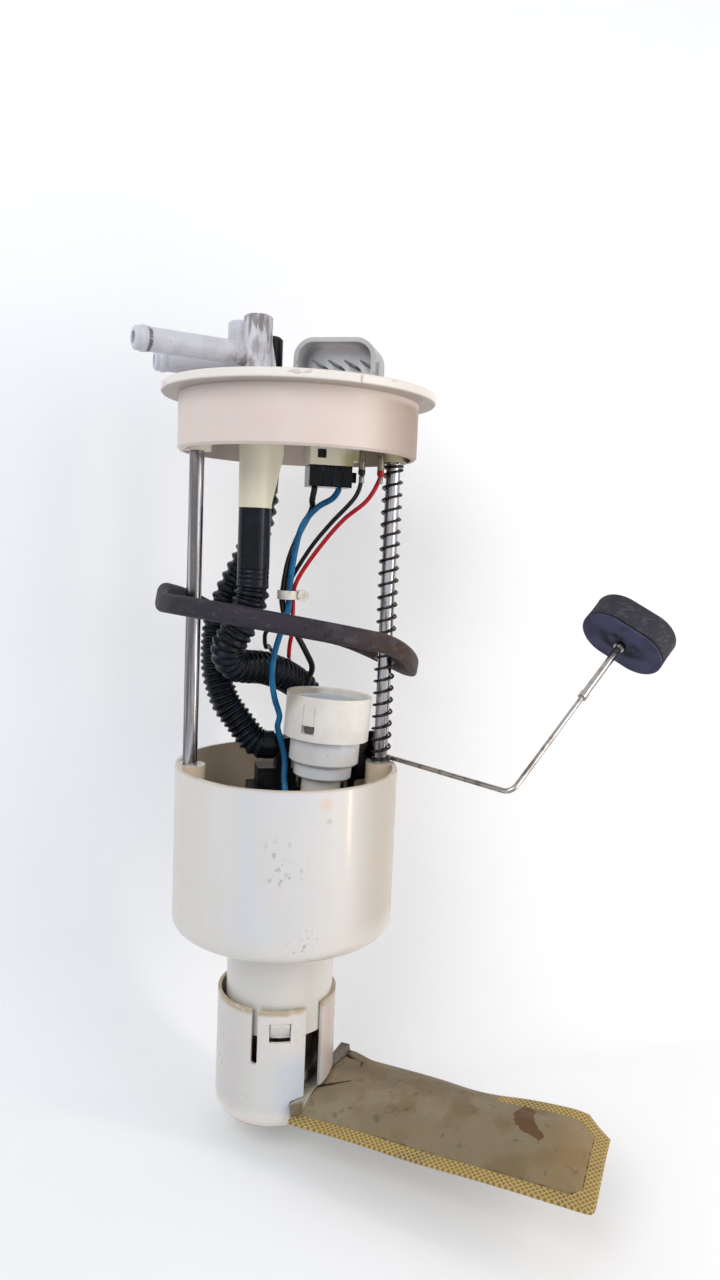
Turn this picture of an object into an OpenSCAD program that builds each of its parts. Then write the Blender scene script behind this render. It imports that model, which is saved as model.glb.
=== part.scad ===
// In-tank fuel pump and level sender module, hanging from a round tank flange.
// The origin is the centre of the seat plane, the underside of the flange rim. +Z is up,
// and +X runs from the axis to the rod that carries the spring.

/* [Flange] */
// Outer diameter of the flange rim
flange_d = 120; // [117:0.5:126]
// Thickness of the flange rim
rim_t = 4; // [3:0.5:6]
// Outer diameter of the skirt that drops into the tank opening
skirt_d = 105; // [103:0.5:110]
// Depth of the skirt below the seat plane
skirt_h = 24; // [20:1:28]
// Wall of the skirt
skirt_wall = 2.5; // [2:0.1:3.5]
// Thickness of the flange plate
plate_t = 3; // [2.2:0.1:3.8]

/* [Ports] */
// Height of both port bosses above the rim
port_boss_h = 31.5; // [28:0.5:38]
// Diameter of the port bosses
port_boss_d = 12.6; // [12:0.1:13]
// Outer diameter of the feed pipe
feed_pipe_d = 10; // [8.5:0.1:11]
// Length of the feed pipe from its boss axis to its tip
feed_pipe_l = 55; // [44:1:64]
// Height of the feed pipe's axis above the rim
feed_pipe_z = 14.8; // [13:0.2:18]
// Outer diameter of the return pipe
return_pipe_d = 9; // [8:0.1:10]
// Length of the return pipe from its boss axis to its tip
return_pipe_l = 39; // [32:1:50]
// Height of the return pipe's axis above the rim
return_pipe_z = 11; // [9.5:0.2:14]
// How far the hose bead stands out from either pipe
bead_rise = 0.45; // [0.3:0.05:0.8]
// Bore of both pipes
pipe_bore_d = 5.2; // [4:0.1:5.5]
// Length of the feed nozzle below the seat plane
nozzle_l = 47.3; // [42:0.5:50]
// Diameter of the feed nozzle at its lower end
nozzle_d = 14.8; // [13:0.1:15.4]

/* [Connector] */
// Width of the connector shroud
shroud_w = 37.3; // [34:0.1:40]
// Height of the connector shroud
shroud_h = 24.3; // [22:0.1:27]
// Length of the connector shroud
shroud_l = 22; // [20:0.5:26]
// Corner radius of the connector shroud
shroud_r = 9; // [6:0.5:10.5]
// Wall of the connector shroud
shroud_wall = 2; // [1.5:0.1:2.6]
// Depth of the connector socket
socket_depth = 14; // [11:0.5:17]
// Width of one terminal blade
blade_w = 6.3; // [4.8:0.1:6.3]
// Thickness of one terminal blade
blade_t = 0.8; // [0.6:0.1:1]

/* [Guide rods] */
// Diameter of the guide rods
rod_d = 6.5; // [6:0.1:7]
// Distance from the axis to each guide rod
rod_x = 44; // [43.5:0.1:44.5]
// Radial running clearance of a rod in its guide
rod_gap = 0.05; // [0.02:0.01:0.09]
// How far the rods reach below the reservoir rim at rest
rod_reach = 22; // [18:1:30]
// Length of the guide bore at the top of each rod socket
guide_l = 12; // [8:1:14]
// Outer diameter of the spring
spring_d = 9.6; // [9.2:0.1:10]
// Diameter of the spring wire
spring_wire_d = 1.2; // [0.9:0.1:1.3]
// Number of turns in the spring
spring_turns = 26; // [20:1:30]

/* [Reservoir] */
// Depth of the reservoir rim below the seat plane
reservoir_z = 162.3; // [162:0.1:170]
// Outer diameter of the reservoir
reservoir_d = 101; // [100:0.1:104]
// Height of the reservoir
reservoir_h = 74.3; // [73:0.1:80]
// Wall of the reservoir
reservoir_wall = 2.2; // [1.8:0.1:2.6]
// Radius of the reservoir's lower edge
reservoir_edge_r = 5; // [3:0.5:8]
// Outer diameter of the pump sleeve below the reservoir
sleeve_d = 49.4; // [49:0.1:50]
// Wall of the pump sleeve
sleeve_wall = 2.2; // [1.8:0.1:2.6]
// Length of the pump sleeve below the reservoir
sleeve_l = 45; // [42:0.5:48]

/* [Return cup] */
// Outer diameter of the collar
collar_d = 39.5; // [38:0.1:40]
// Height of the collar
collar_h = 20; // [18:0.5:22]
// Wall of the collar
collar_wall = 1.8; // [1.4:0.1:2.2]
// How far the collar's rim stands above the reservoir rim
collar_rise = 31.8; // [30:0.2:34]
// Diameter of the funnel's wide step
funnel_step_d = 32.4; // [31:0.1:33]
// Diameter of the funnel's narrow step
funnel_neck_d = 27; // [25:0.1:28]
// Diameter of the funnel's stem
funnel_stem_d = 18.4; // [16:0.1:19]
// Wall of the funnel
funnel_wall = 1.6; // [1.2:0.1:2]

/* [Lower cup] */
// Wall of the lower cup
cup_wall = 1.6; // [1.4:0.1:2.2]
// Height of the lower cup
cup_h = 57.5; // [56:0.5:60]
// How far the lower cup overlaps the pump sleeve
cup_overlap = 13.5; // [13:0.5:17]
// Radius of the lower cup's bottom edge
cup_edge_r = 7.5; // [4:0.5:8.5]
// Width of the relief slots beside each latch
cup_slot_w = 3; // [2.4:0.1:4]

/* [Pump] */
// Diameter of the pump can
pump_d = 38; // [37:0.1:38.6]
// Length of the pump can
pump_l = 78; // [76:0.5:80]
// Wall of the pump can
pump_wall = 1.2; // [0.8:0.1:1.5]
// Diameter of the armature
armature_d = 26; // [24:0.5:27.5]
// Diameter of the armature shaft
shaft_d = 4; // [3:0.1:5]
// Diameter of the impeller
impeller_d = 30; // [28:0.5:32]
// Number of vanes on the impeller
impeller_vanes = 24; // [16:1:30]

/* [Strainer] */
// Length of the strainer bag
sock_l = 130; // [100:1:135]
// Width of the strainer bag
sock_w = 53.5; // [46:0.5:56]
// Thickness of the strainer bag at its middle
sock_t = 7; // [5:0.5:8]
// Width of the sealed border of the bag
border_w = 6; // [4:0.5:8]
// Thickness of the sealed border
border_t = 1.6; // [1:0.1:2]
// Corner cut at the bag's far end
sock_cut = 15; // [8:0.5:18]

/* [Level sender] */
// Diameter of the float arm wire
arm_d = 2.3; // [2:0.1:2.5]
// Length of the arm from its hinge's rod side to its bend
arm_reach = 73.5; // [70:0.5:78]
// Distance from the arm's bend to the float's face
arm_l = 93.5; // [80:0.5:100]
// Angle of the arm above level at rest
arm_rest = 39; // [30:1:45]
// Inner radius of the arm's bends
arm_bend_r = 3; // [2:0.5:5]
// Length of the sleeve outside the float
float_sleeve_l = 35.5; // [25:0.5:40]
// Diameter of the sleeve that the float turns on
float_sleeve_d = 3.4; // [3.2:0.1:3.8]
// Length of the float
float_l = 40.5; // [36:0.5:46]
// Width of the float
float_w = 27.5; // [26:0.5:32]
// Thickness of the float
float_t = 15.5; // [11:0.5:18]

/* [Seal ring] */
// Outer diameter of the seal ring
ring_d = 119; // [118:0.5:124]
// Radial width of the seal ring
ring_w = 4.6; // [3.5:0.1:5]
// Height of the seal ring
ring_h = 9; // [7:0.5:11]

/* [Hoses and leads] */
// Outer diameter of the feed hose over its ridges
feed_hose_d = 15.8; // [14:0.1:16]
// Outer diameter of the return hose over its ridges
return_hose_d = 14.2; // [13:0.1:14.6]
// Outer diameter of the smooth cuff at the top of the feed hose
cuff_d = 14.4; // [13:0.1:15]
// Diameter of the thick pump leads
lead_d = 2.8; // [2:0.1:2.8]
// Diameter of the thin sender leads
thin_lead_d = 2; // [1.4:0.1:2]

/* [Hidden] */
$fn = 64;
eps = 0.05;

// Clearance of a piece that is pushed onto another and stays there
push_gap = 0.02;
// Clearance of a turning shaft
turn_gap = 0.04;
// Clearance of a clipped or dropped-in piece
loose_gap = 0.15;

// Flange levels and the places of what it carries
flange_r = flange_d / 2;
skirt_r = skirt_d / 2;
skirt_in_r = skirt_r - skirt_wall;
plate_z = rim_t - plate_t;
rim_edge_r = 1;
socket_boss_r = rod_d / 2 + 2.9;
feed_at = [-18.8, 3];
nozzle_at = [-17.9, 3];
return_at = [-24.2, 18.5];
valve_at = [-11.6, 18.5];
valve_r = 6;
valve_lip = 0.6;
valve_lip_h = 1.6;
feed_dir = 196.7;
return_dir = 187.3;
shroud_at = [15, 1.4];
shroud_turn = -25;
shroud_floor = rim_t + 1;
housing_at = [14.9, 4.5];
housing_size = [19.4, 15];
housing_z = -27;
plug_h = 9.5;
tab_xs = [28, 36.6];
tab_y = -6;

// Reservoir levels and radii
rim_z = -reservoir_z;
reservoir_r = reservoir_d / 2;
reservoir_in_r = reservoir_r - reservoir_wall;
base_z = rim_z - reservoir_h;
floor_t = 2.6;
floor_z = base_z + floor_t;
sleeve_r = sleeve_d / 2;
sleeve_in_r = sleeve_r - sleeve_wall;
sleeve_end = base_z - sleeve_l;
sleeve_rise = 8;
rod_end = rim_z - rod_reach;
guide_r = rod_d / 2 + rod_gap;
socket_r = guide_r + 3.5;
relief_r = guide_r + 1.7;
clip_t = 1;
clip_gap = 0.2;
clip_z = rim_z - guide_l - clip_gap - clip_t;
groove_r = rod_d / 2 - 0.6;
washer_t = 1;
spring_top = -skirt_h - washer_t;
spring_foot = rim_z;

// Pump levels inside the sleeve and the lower cup
pump_r = pump_d / 2;
pump_top = base_z + 10.6;
pump_foot = pump_top - pump_l;
cap_h = 7;
inlet_h = 5;
cover_wall = 2.2;
cover_top = floor_z + 20.5;
cover_r = sleeve_r + loose_gap + cover_wall;
outlet_at = [-6, 2];
outlet_r = 3.9;
outlet_top = cover_top + 5;
elbow_at = [18.5, 34];
elbow_z = cover_top + 7.5;
elbow_top = -185;
elbow_tube_r = 4.5;
plug_at = [13, -16];
plug_top = -204;

// Return cup
cup_at = [14.3, 3.5];
cup_lean = 3.5;
collar_top = rim_z + collar_rise;
collar_foot = collar_top - collar_h;
step_foot = rim_z - 0.2;
neck_foot = step_foot - 6.5;
stem_foot = cover_top;

// Lower cup, which hangs a little to one side on its latches
lower_at = [-1.1, 0];
cup_in_r = sleeve_r + 1.2;
cup_r = cup_in_r + cup_wall;
cup_top = sleeve_end + cup_overlap;
cup_foot = cup_top - cup_h;
cup_floor_t = 2.2;
latch_az = -94.7;
latch_half = 24.3;
window_w = 9.6;
window_h = 8.8;
window_z = cup_top - 10.1;
slot_depth = 23.6;
gate_from = -69.7;
gate_to = -50;

// Strainer, laid out along its own direction
sock_az = -41;
sock_shift = 2;
sock_z = -312;
sock_roll = 8;
sock_pitch = 3.5;
bar_from = 20;
bar_w = 4.5;
bar_l = 49;
bar_shift = 2;
bar_h = 7.5;
neck_w = 14;
neck_t = 4.6;

// Level sender, laid out along its hinge
hinge_az = -62;
hinge_off = 6.6;
hinge_z = 1;
hinge_at = [rod_x + hinge_off * cos(hinge_az + 90), hinge_off * sin(hinge_az + 90), rim_z + hinge_z];
arm_r = arm_d / 2;
body_x = [-21, -15.5];
body_in = -9.8;
card_t = 0.8;
hub_x = [-14.2, -9.5];
hub_r = 3.2;
float_sleeve_r = float_sleeve_d / 2;
float_turn_az = -52;

// Seal ring, tipped as it hangs round the rods
ring_at = [-1.5, 0, -99.6];
ring_tip = [-4.4, 9.4, 0];
droop_from = 28;
droop_rate = 0.0095;

// Cord routes, chosen by hand along each real run
FEED_ROUTE = [[-17.9, 3, -47.3], [-17.9, 3, -62], [-17.9, 3, -76], [-18.5, 3, -87], [-21.5, 3.4, -97],
              [-25.2, 4.2, -104], [-27.5, 5.6, -109], [-27.4, 7.6, -114], [-24.2, 10.2, -118.2],
              [-19, 13, -119.8], [-11, 18, -120.8], [-2.6, 23.4, -123.8], [4.9, 30.1, -127.9],
              [11.7, 33.9, -133.2], [16.8, 34.3, -142], [18.5, 34, -153], [18.5, 34, -170], [18.5, 34, -185]];
RETURN_ROUTE = [[-11.6, 18.5, -20], [-11.6, 18.5, -24.5], [-11.6, 18.6, -29], [-11.8, 19.4, -35],
                [-12.2, 20, -43], [-14, 21, -54], [-17.5, 22, -67], [-22.5, 22.5, -78], [-27, 23, -88],
                [-31, 23.5, -100], [-32, 23.6, -112], [-31.5, 23, -123], [-29.5, 21.5, -131],
                [-26.6, 20, -138.3], [-21.6, 18.4, -145.2], [-15.4, 16.4, -153.2], [-12, 15.2, -156],
                [-8.6, 14.5, -157], [-6.5, 14.5, -157], [-4.5, 14.5, -157]];
BLUE_ROUTE = [[19.5, 3, -36.5], [19.5, 3, -37.8], [17, 4, -41.5], [11.2, 5.3, -45.2], [6, 6.7, -51.1],
              [3, 7.2, -58], [0.8, 7.2, -70], [-0.6, 7.2, -84], [-0.6, 7, -91], [-2.2, 6.8, -97.5],
              [-4, 7.4, -103.5], [-6.5, 7, -113], [-7.4, 6.5, -123], [-6, 6.5, -133], [-3.4, 6.3, -141.5],
              [-4.1, 6.3, -146.8], [-2.3, 6.2, -153.3], [-0.6, 4, -162], [-1, 0, -172], [1, -8, -186],
              [7, -14, -198], [11, -16, -202.6], [11, -16, -204]];
BLACK_ROUTE = [[8.5, 3, -36.5], [8.5, 3, -38], [8.1, 5.1, -42.4], [8.7, 9.2, -46.8], [4, 10.6, -57],
               [-0.8, 10.3, -70], [-3.2, 9.2, -84], [-3.2, 9.2, -90.5], [-0.8, 10.4, -98.1],
               [4.6, 12.7, -105], [9.8, 15, -113.5], [13.4, 18.7, -120.7], [12.3, 23.5, -128.2],
               [11, 23.3, -135.1], [9.4, 24.3, -142], [11.9, 23.9, -151.9], [18, 21.9, -160],
               [24.5, 19, -168], [27.5, 12.5, -176], [29.5, 3, -185], [26, -8, -195],
               [15, -16, -201.8], [15, -16, -204]];
RED_ROUTE = [[36.6, -6, -28.5], [36, -6, -33], [31, -5, -42], [21.5, -0.5, -51], [12.5, 4, -63],
             [4.5, 7.6, -76], [1.6, 8.8, -84], [1.6, 8.8, -91], [1.6, 8.6, -102], [1.3, 12.5, -109],
             [1.8, 17.5, -114.5], [3, 24.2, -116.1], [4.2, 32.2, -118], [7, 40.6, -124.9],
             [13, 43, -131.5], [21, 43, -138.5], [29.5, 37, -146], [33.5, 29, -152], [33.2, 21.5, -155],
             [34.6, 18.9, -155]];
SENDER_ROUTE = [[28, -6, -28.5], [28, -6, -33], [25.5, -4.5, -41], [16, 1.5, -53], [8.5, 7, -64],
                [1, 11, -78], [-0.6, 10.9, -84], [-0.8, 11, -91], [-2.9, 14.2, -96.9], [-9.4, 13.4, -103],
                [-10.2, 14.6, -107], [-9.3, 16.5, -111], [-7, 24, -111.5], [-3, 32, -117], [5, 41.5, -129],
                [13, 45.5, -136.5], [22, 45, -143.5], [31, 38, -150], [36, 30, -155], [35.9, 22.9, -158],
                [37.3, 20.3, -158]];

// Points of an arc, from angle a0 to a1
function arc(c, r, a0, a1, n) = [for (i = [0:n]) let (a = a0 + (a1 - a0) * i / n)
                                 [c[0] + r * cos(a), c[1] + r * sin(a)]];

// Vector helpers for sweeping a section along a route
function unit(v) = v / norm(v);
function tangent(p, i) = unit(p[min(i + 1, len(p) - 1)] - p[max(i - 1, 0)]);
function side_start(t) = unit(cross(t, abs(t[0]) < 0.8 ? [1, 0, 0] : [0, 1, 0]));
function carried(s, t) = unit(s - (s * t) * t);
function sides(p, i = 0, s = undef) =
    let (t = tangent(p, i), here = is_undef(s) ? side_start(t) : carried(s, t))
    i == len(p) - 1 ? [here] : concat([here], sides(p, i + 1, here));

// A point on the smooth curve through four route points
function blend_point(a, b, c, d, t) =
    0.5 * (2 * b + (c - a) * t + (2 * a - 5 * b + 4 * c - d) * t * t + (3 * b - a - 3 * c + d) * t * t * t);
function smooth(p, n) = concat(
    [for (i = [0:len(p) - 2], k = [0:n - 1])
        blend_point(p[max(i - 1, 0)], p[i], p[i + 1], p[min(i + 2, len(p) - 1)], k / n)],
    [p[len(p) - 1]]);

// A closed tube of radii rs along the points of path
module sweep(path, rs, n) {
    s = sides(path);
    rings = [for (i = [0:len(path) - 1]) let (t = tangent(path, i), u = s[i], v = cross(t, u))
             for (k = [0:n - 1]) let (a = 360 * k / n) path[i] + rs[i] * (cos(a) * u + sin(a) * v)];
    last = (len(path) - 1) * n;
    walls = [for (i = [0:len(path) - 2], k = [0:n - 1]) let (a = i * n + k, b = i * n + (k + 1) % n)
             each [[a, a + n, b], [b, a + n, b + n]]];
    ends = concat([[for (k = [0:n - 1]) k]], [[for (k = [n - 1:-1:0]) last + k]]);
    polyhedron(points = rings, faces = concat(walls, ends), convexity = 6);
}

// A lead of one diameter along a route
module lead(route, d) {
    sweep(route, [for (p = route) d / 2], 8);
}

// A hose that is narrower along its first few stretches, where it is a smooth cuff
module hose(route, d, cuffs) {
    path = smooth(route, 2);
    sweep(path, [for (i = [0:len(path) - 1]) (i < cuffs * 2 ? cuff_d : d) / 2], 12);
}

module ring_of(r_out, r_in, h) {
    difference() {
        cylinder(r = r_out, h = h);
        translate([0, 0, -eps]) cylinder(r = r_in, h = h + 2 * eps);
    }
}

// A slice of a ring between two azimuths, for gates, notches and magnets
module sector(r_in, r_out, a0, a1, z0, z1) {
    reach = r_out + 1;
    mid = (a0 + a1) / 2;
    intersection() {
        translate([0, 0, z0]) ring_of(r_out, r_in, z1 - z0);
        translate([0, 0, z0 - 1]) linear_extrude(z1 - z0 + 2)
            polygon([[0, 0], 1.5 * reach * [cos(a0), sin(a0)], 1.5 * reach * [cos(mid), sin(mid)],
                     1.5 * reach * [cos(a1), sin(a1)]]);
    }
}

// A rectangle with round corners made of true arcs
module round_rect(w, h, r) {
    union() {
        square([w - 2 * r, h], center = true);
        square([w, h - 2 * r], center = true);
        for (x = [-1, 1], y = [-1, 1])
            translate([x * (w / 2 - r), y * (h / 2 - r)]) circle(r = r, $fn = 48);
    }
}

// Flange, its skirt and everything moulded with it
module flange() {
    lip = skirt_wall * 0.4;
    color("antiquewhite") difference() {
        union() {
            rotate_extrude($fn = 128) polygon(concat(
                [[0, plate_z], [skirt_in_r, plate_z], [skirt_in_r, -skirt_h], [skirt_r - lip, -skirt_h],
                 [skirt_r, -skirt_h + lip], [skirt_r, 0], [flange_r - 0.6, 0], [flange_r, 0.8]],
                arc([flange_r - rim_edge_r, rim_t - rim_edge_r], rim_edge_r, 0, 90, 4),
                [[0, rim_t]]));
            for (x = [-rod_x, rod_x])
                translate([x, 0, -skirt_h]) cylinder(r = socket_boss_r, h = skirt_h + plate_z + eps);
            flange_ribs();
            feed_nozzle();
            terminal_housing();
        }
        for (x = [-rod_x, rod_x])
            translate([x, 0, -skirt_h - eps]) cylinder(r = rod_d / 2 + push_gap, h = skirt_h + eps);
        translate([nozzle_at[0], nozzle_at[1], -nozzle_l - eps])
            cylinder(d = pipe_bore_d, h = nozzle_l + rim_t + 2 * eps);
        translate([valve_at[0], valve_at[1], plate_z - eps])
            cylinder(r = valve_r + push_gap, h = plate_t + 2 * eps);
        // Key notch in the rim
        rotate([0, 0, -76]) translate([flange_r - 0.8, -0.6, -eps]) cube([2, 1.2, rim_t + 2 * eps]);
        // Window in the terminal housing
        translate([housing_at[0] - 6.5, housing_at[1] - housing_size[1] / 2 - eps, housing_z + 3])
            cube([4, 3, 4]);
    }
}

// Radial ribs under the plate, from the skirt inwards
module flange_ribs() {
    rib_t = 1.8;
    rib_h = 9;
    rib_l = 13;
    for (a = [35, 65, 115, 145, 215, 245, 295, 325])
        rotate([0, 0, a]) translate([skirt_in_r - rib_l, -rib_t / 2, plate_z - rib_h])
            cube([rib_l + skirt_wall / 2, rib_t, rib_h + eps]);
    for (x = [-1, 1])
        translate([x * (rod_x - socket_boss_r - 4) - 2, -rib_t / 2, plate_z - 16]) cube([8, rib_t, 16 + eps]);
}

// Tapered feed nozzle with a web on its right-hand side
module feed_nozzle() {
    web_t = 3;
    translate([nozzle_at[0], nozzle_at[1], -nozzle_l])
        cylinder(d1 = nozzle_d, d2 = nozzle_d + 0.8, h = nozzle_l + plate_z + eps);
    translate([nozzle_at[0], nozzle_at[1] + web_t / 2, 0]) rotate([90, 0, 0]) linear_extrude(web_t)
        polygon([[0, plate_z + eps], [nozzle_d / 2 + 4.6, plate_z + eps], [nozzle_d / 2 + 4.4, -skirt_h],
                 [nozzle_d / 2 - 0.3, -nozzle_l + 1], [0, -nozzle_l + 1]]);
}

// Block that holds the inner plug, with a lower step on its right
module terminal_housing() {
    translate([housing_at[0] - housing_size[0] / 2, housing_at[1] - housing_size[1] / 2, housing_z])
        cube([housing_size[0], housing_size[1], plate_z - housing_z + eps]);
    translate([housing_at[0] + housing_size[0] / 2 - eps, housing_at[1] - housing_size[1] / 2 + 2, housing_z + 2.6])
        cube([4, housing_size[1] - 4, plate_z - housing_z - 2.6 + eps]);
}

// One pipe with a hose bead and a chamfered tip, along +X from a boss axis
module port_pipe(d, l) {
    tip = 6;
    rotate([0, 90, 0]) union() {
        cylinder(d = d, h = l - 0.8);
        translate([0, 0, l - tip]) rotate_extrude() polygon(
            [[0, 0], [d / 2, 0], [d / 2 + bead_rise, 1.6], [d / 2 + bead_rise, 2.6], [d / 2 - 0.2, 4.4],
             [d / 2 - 0.2, tip - 0.8], [d / 2 - 1, tip], [0, tip]]);
    }
}

module port_bore(l) {
    back = 2.8;
    rotate([0, 90, 0]) translate([0, 0, -back]) cylinder(d = pipe_bore_d, h = l + back + eps);
}

module port_boss() {
    cylinder(d = port_boss_d + 3, h = 1.5);
    cylinder(d = port_boss_d, h = port_boss_h - 0.8);
    translate([0, 0, port_boss_h - 0.8 - eps])
        cylinder(d1 = port_boss_d, d2 = port_boss_d - 1.6, h = 0.8 + eps);
}

module feed_port() {
    web_t = 2.6;
    color("lightsteelblue") translate([feed_at[0], feed_at[1], rim_t]) difference() {
        union() {
            port_boss();
            translate([0, 0, feed_pipe_z]) rotate([0, 0, feed_dir]) port_pipe(feed_pipe_d, feed_pipe_l);
            translate([0, web_t / 2, 0]) rotate([90, 0, 0]) linear_extrude(web_t)
                polygon([[0, 0], [port_boss_d / 2 + 3.6, 0], [port_boss_d / 2 + 3.6, 1.5],
                         [port_boss_d / 2 - 0.3, 22], [0, 22]]);
        }
        translate([0, 0, feed_pipe_z]) rotate([0, 0, feed_dir]) port_bore(feed_pipe_l);
        translate([0, 0, -eps]) cylinder(d = pipe_bore_d - 0.8, h = feed_pipe_z + eps);
    }
}

module return_port() {
    color("lightsteelblue") translate([return_at[0], return_at[1], rim_t]) difference() {
        union() {
            port_boss();
            translate([0, 0, return_pipe_z]) rotate([0, 0, return_dir])
                port_pipe(return_pipe_d, return_pipe_l);
        }
        translate([0, 0, return_pipe_z]) rotate([0, 0, return_dir]) port_bore(return_pipe_l);
        translate([0, 0, 1]) cylinder(d = pipe_bore_d - 0.8, h = return_pipe_z - 1);
        // Room beside it for the valve's collar
        translate([valve_at[0] - return_at[0], valve_at[1] - return_at[1], -eps])
            cylinder(r = valve_r + valve_lip + push_gap, h = valve_lip_h + eps);
    }
}

// Black valve body that passes through the flange beside the return port
module return_valve() {
    top_h = 26;
    hose_face = RETURN_ROUTE[0][2];
    color("dimgray") translate([valve_at[0], valve_at[1], 0]) {
        translate([0, 0, hose_face]) cylinder(r = valve_r, h = rim_t + top_h - hose_face - 1);
        translate([0, 0, rim_t + top_h - 1 - eps]) cylinder(r1 = valve_r, r2 = valve_r - 1, h = 1 + eps);
        translate([0, 0, rim_t]) cylinder(r = valve_r + valve_lip, h = valve_lip_h);
    }
}

// Rounded connector shroud that opens towards the front left
module connector_shroud() {
    mid_z = shroud_floor + shroud_h / 2;
    color("silver") translate([shroud_at[0], shroud_at[1], 0]) rotate([0, 0, shroud_turn]) {
        difference() {
            translate([0, shroud_l, mid_z]) rotate([90, 0, 0]) linear_extrude(shroud_l)
                round_rect(shroud_w, shroud_h, shroud_r);
            translate([0, socket_depth, mid_z]) rotate([90, 0, 0]) linear_extrude(socket_depth + eps)
                round_rect(shroud_w - 2 * shroud_wall, shroud_h - 2 * shroud_wall, shroud_r - shroud_wall);
        }
        // Foot on the plate
        translate([-shroud_w / 2 + shroud_r, 3, rim_t]) cube([shroud_w - 2 * shroud_r, shroud_l - 3, 1.5]);
        // Lock lugs on both sides
        for (x = [-1, 1])
            translate([x * (shroud_w / 2 + 0.35) - 0.75, 4, mid_z - 5]) cube([1.5, 5, 7]);
    }
}

// Slanted flat blades on the socket's back wall
module terminal_blades() {
    blade_l = 9.5;
    pitch = 7.4;
    color("goldenrod") translate([shroud_at[0], shroud_at[1], 0]) rotate([0, 0, shroud_turn])
        for (i = [0:3])
            translate([-8.5 + i * pitch, socket_depth - blade_l, shroud_floor + shroud_h / 2 + 1.6])
                rotate([0, 27, 0]) translate([-blade_w / 2, 0, -blade_t / 2]) cube([blade_w, blade_l, blade_t]);
}

// Black plug that hangs from the terminal housing and takes the pump leads
module inner_plug() {
    w = housing_size[0];
    l = 12.5;
    color("#222222") translate([housing_at[0] - w / 2, housing_at[1] - housing_size[1] / 2 + 1, housing_z - plug_h]) {
        difference() {
            cube([w, l, plug_h]);
            // Key channels down the front face
            for (x = [5, 9.5, 14]) translate([x, -eps, -eps]) cube([1.2, 0.9, plug_h * 0.7]);
        }
        translate([w - eps, 2, 2.5]) cube([2.4, l - 4, 4.5]);
    }
}

// Two spade tabs under the plate with the crimps of the sender leads
module sender_tabs() {
    foot = RED_ROUTE[0][2];
    color("silver") for (x = tab_xs) translate([x, tab_y, 0]) {
        translate([-1.2, -0.4, -22]) cube([2.4, 0.8, 22 + plate_z]);
        translate([0, 0, foot]) cylinder(r = 1.5, h = -22 - foot + 1.5);
    }
}

// Loose tank seal, hanging tipped round the rods and drooping past the sprung one
module seal_ring() {
    n = 72;
    r = ring_d / 2;
    c = 0.9;
    h = ring_h / 2;
    section = [[r - ring_w, -h + c], [r - ring_w + c, -h], [r - c, -h], [r, -h + c],
               [r, h - c], [r - c, h], [r - ring_w + c, h], [r - ring_w, h - c]];
    k = len(section);
    function droop(x) = x > droop_from ? -droop_rate * (x - droop_from) * (x - droop_from) : 0;
    function tipped(p) =
        let (a = ring_tip[0], b = ring_tip[1], y = p[1] * cos(a) - p[2] * sin(a), z = p[1] * sin(a) + p[2] * cos(a))
        [p[0] * cos(b) + z * sin(b), y, z * cos(b) - p[0] * sin(b)];
    points = [for (i = [0:n - 1], s = section)
              let (a = 360 * i / n, p = tipped([s[0] * cos(a), s[0] * sin(a), s[1]]))
              ring_at + p + [0, 0, droop(s[0] * cos(a))]];
    faces = [for (i = [0:n - 1], j = [0:k - 1])
             let (a = i * k + j, b = i * k + (j + 1) % k, d = ((i + 1) % n) * k + j, e = ((i + 1) % n) * k + (j + 1) % k)
             each [[a, b, d], [b, e, d]]];
    color("#3b3840") polyhedron(points = points, faces = faces, convexity = 4);
}

// A guide rod with a clip groove near its lower end
module guide_rod(x) {
    tip = 0.8;
    color("silver") translate([x, 0, 0]) difference() {
        union() {
            translate([0, 0, rod_end + tip]) cylinder(d = rod_d, h = -rod_end - tip);
            translate([0, 0, rod_end]) cylinder(d1 = rod_d - 2 * tip, d2 = rod_d, h = tip + eps);
        }
        translate([0, 0, clip_z]) ring_of(rod_d, groove_r, clip_t);
    }
}

module guide_rod_plain() {
    guide_rod(-rod_x);
}

module guide_rod_sprung() {
    guide_rod(rod_x);
}

// Snap clips that stop the rods leaving their guides
module rod_clips() {
    color("gray") for (x = [-rod_x, rod_x]) translate([x, 0, clip_z]) difference() {
        ring_of(relief_r - 0.3, groove_r + push_gap, clip_t);
        translate([0, -1.2, -eps]) cube([rod_d, 2.4, clip_t + 2 * eps]);
    }
}

module spring_washer() {
    color("gray") translate([rod_x, 0, -skirt_h - washer_t])
        ring_of(spring_d / 2, rod_d / 2 + push_gap, washer_t);
}

// Compression spring between the flange and the sprung rod's socket
module spring() {
    steps = 10;
    wire_r = spring_wire_d / 2;
    mean_r = spring_d / 2 - wire_r;
    low = spring_foot + wire_r + push_gap;
    high = spring_top - wire_r - push_gap;
    // The two end turns lie flat
    function lift(t) = t < 1 ? 0.12 * t : t > spring_turns - 1 ? 1 - 0.12 * (spring_turns - t) : undef;
    dead = spring_wire_d * 1.1;
    rise = high - low - 2 * dead;
    function height(t) = t < 1 ? low + dead * t
                       : t > spring_turns - 1 ? high - dead * (spring_turns - t)
                       : low + dead + rise * (t - 1) / (spring_turns - 2);
    path = [for (i = [0:steps * spring_turns]) let (t = i / steps)
            [rod_x + mean_r * cos(360 * t), mean_r * sin(360 * t), height(t)]];
    color("dimgray") sweep(path, [for (p = path) wire_r], 6);
}

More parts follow.
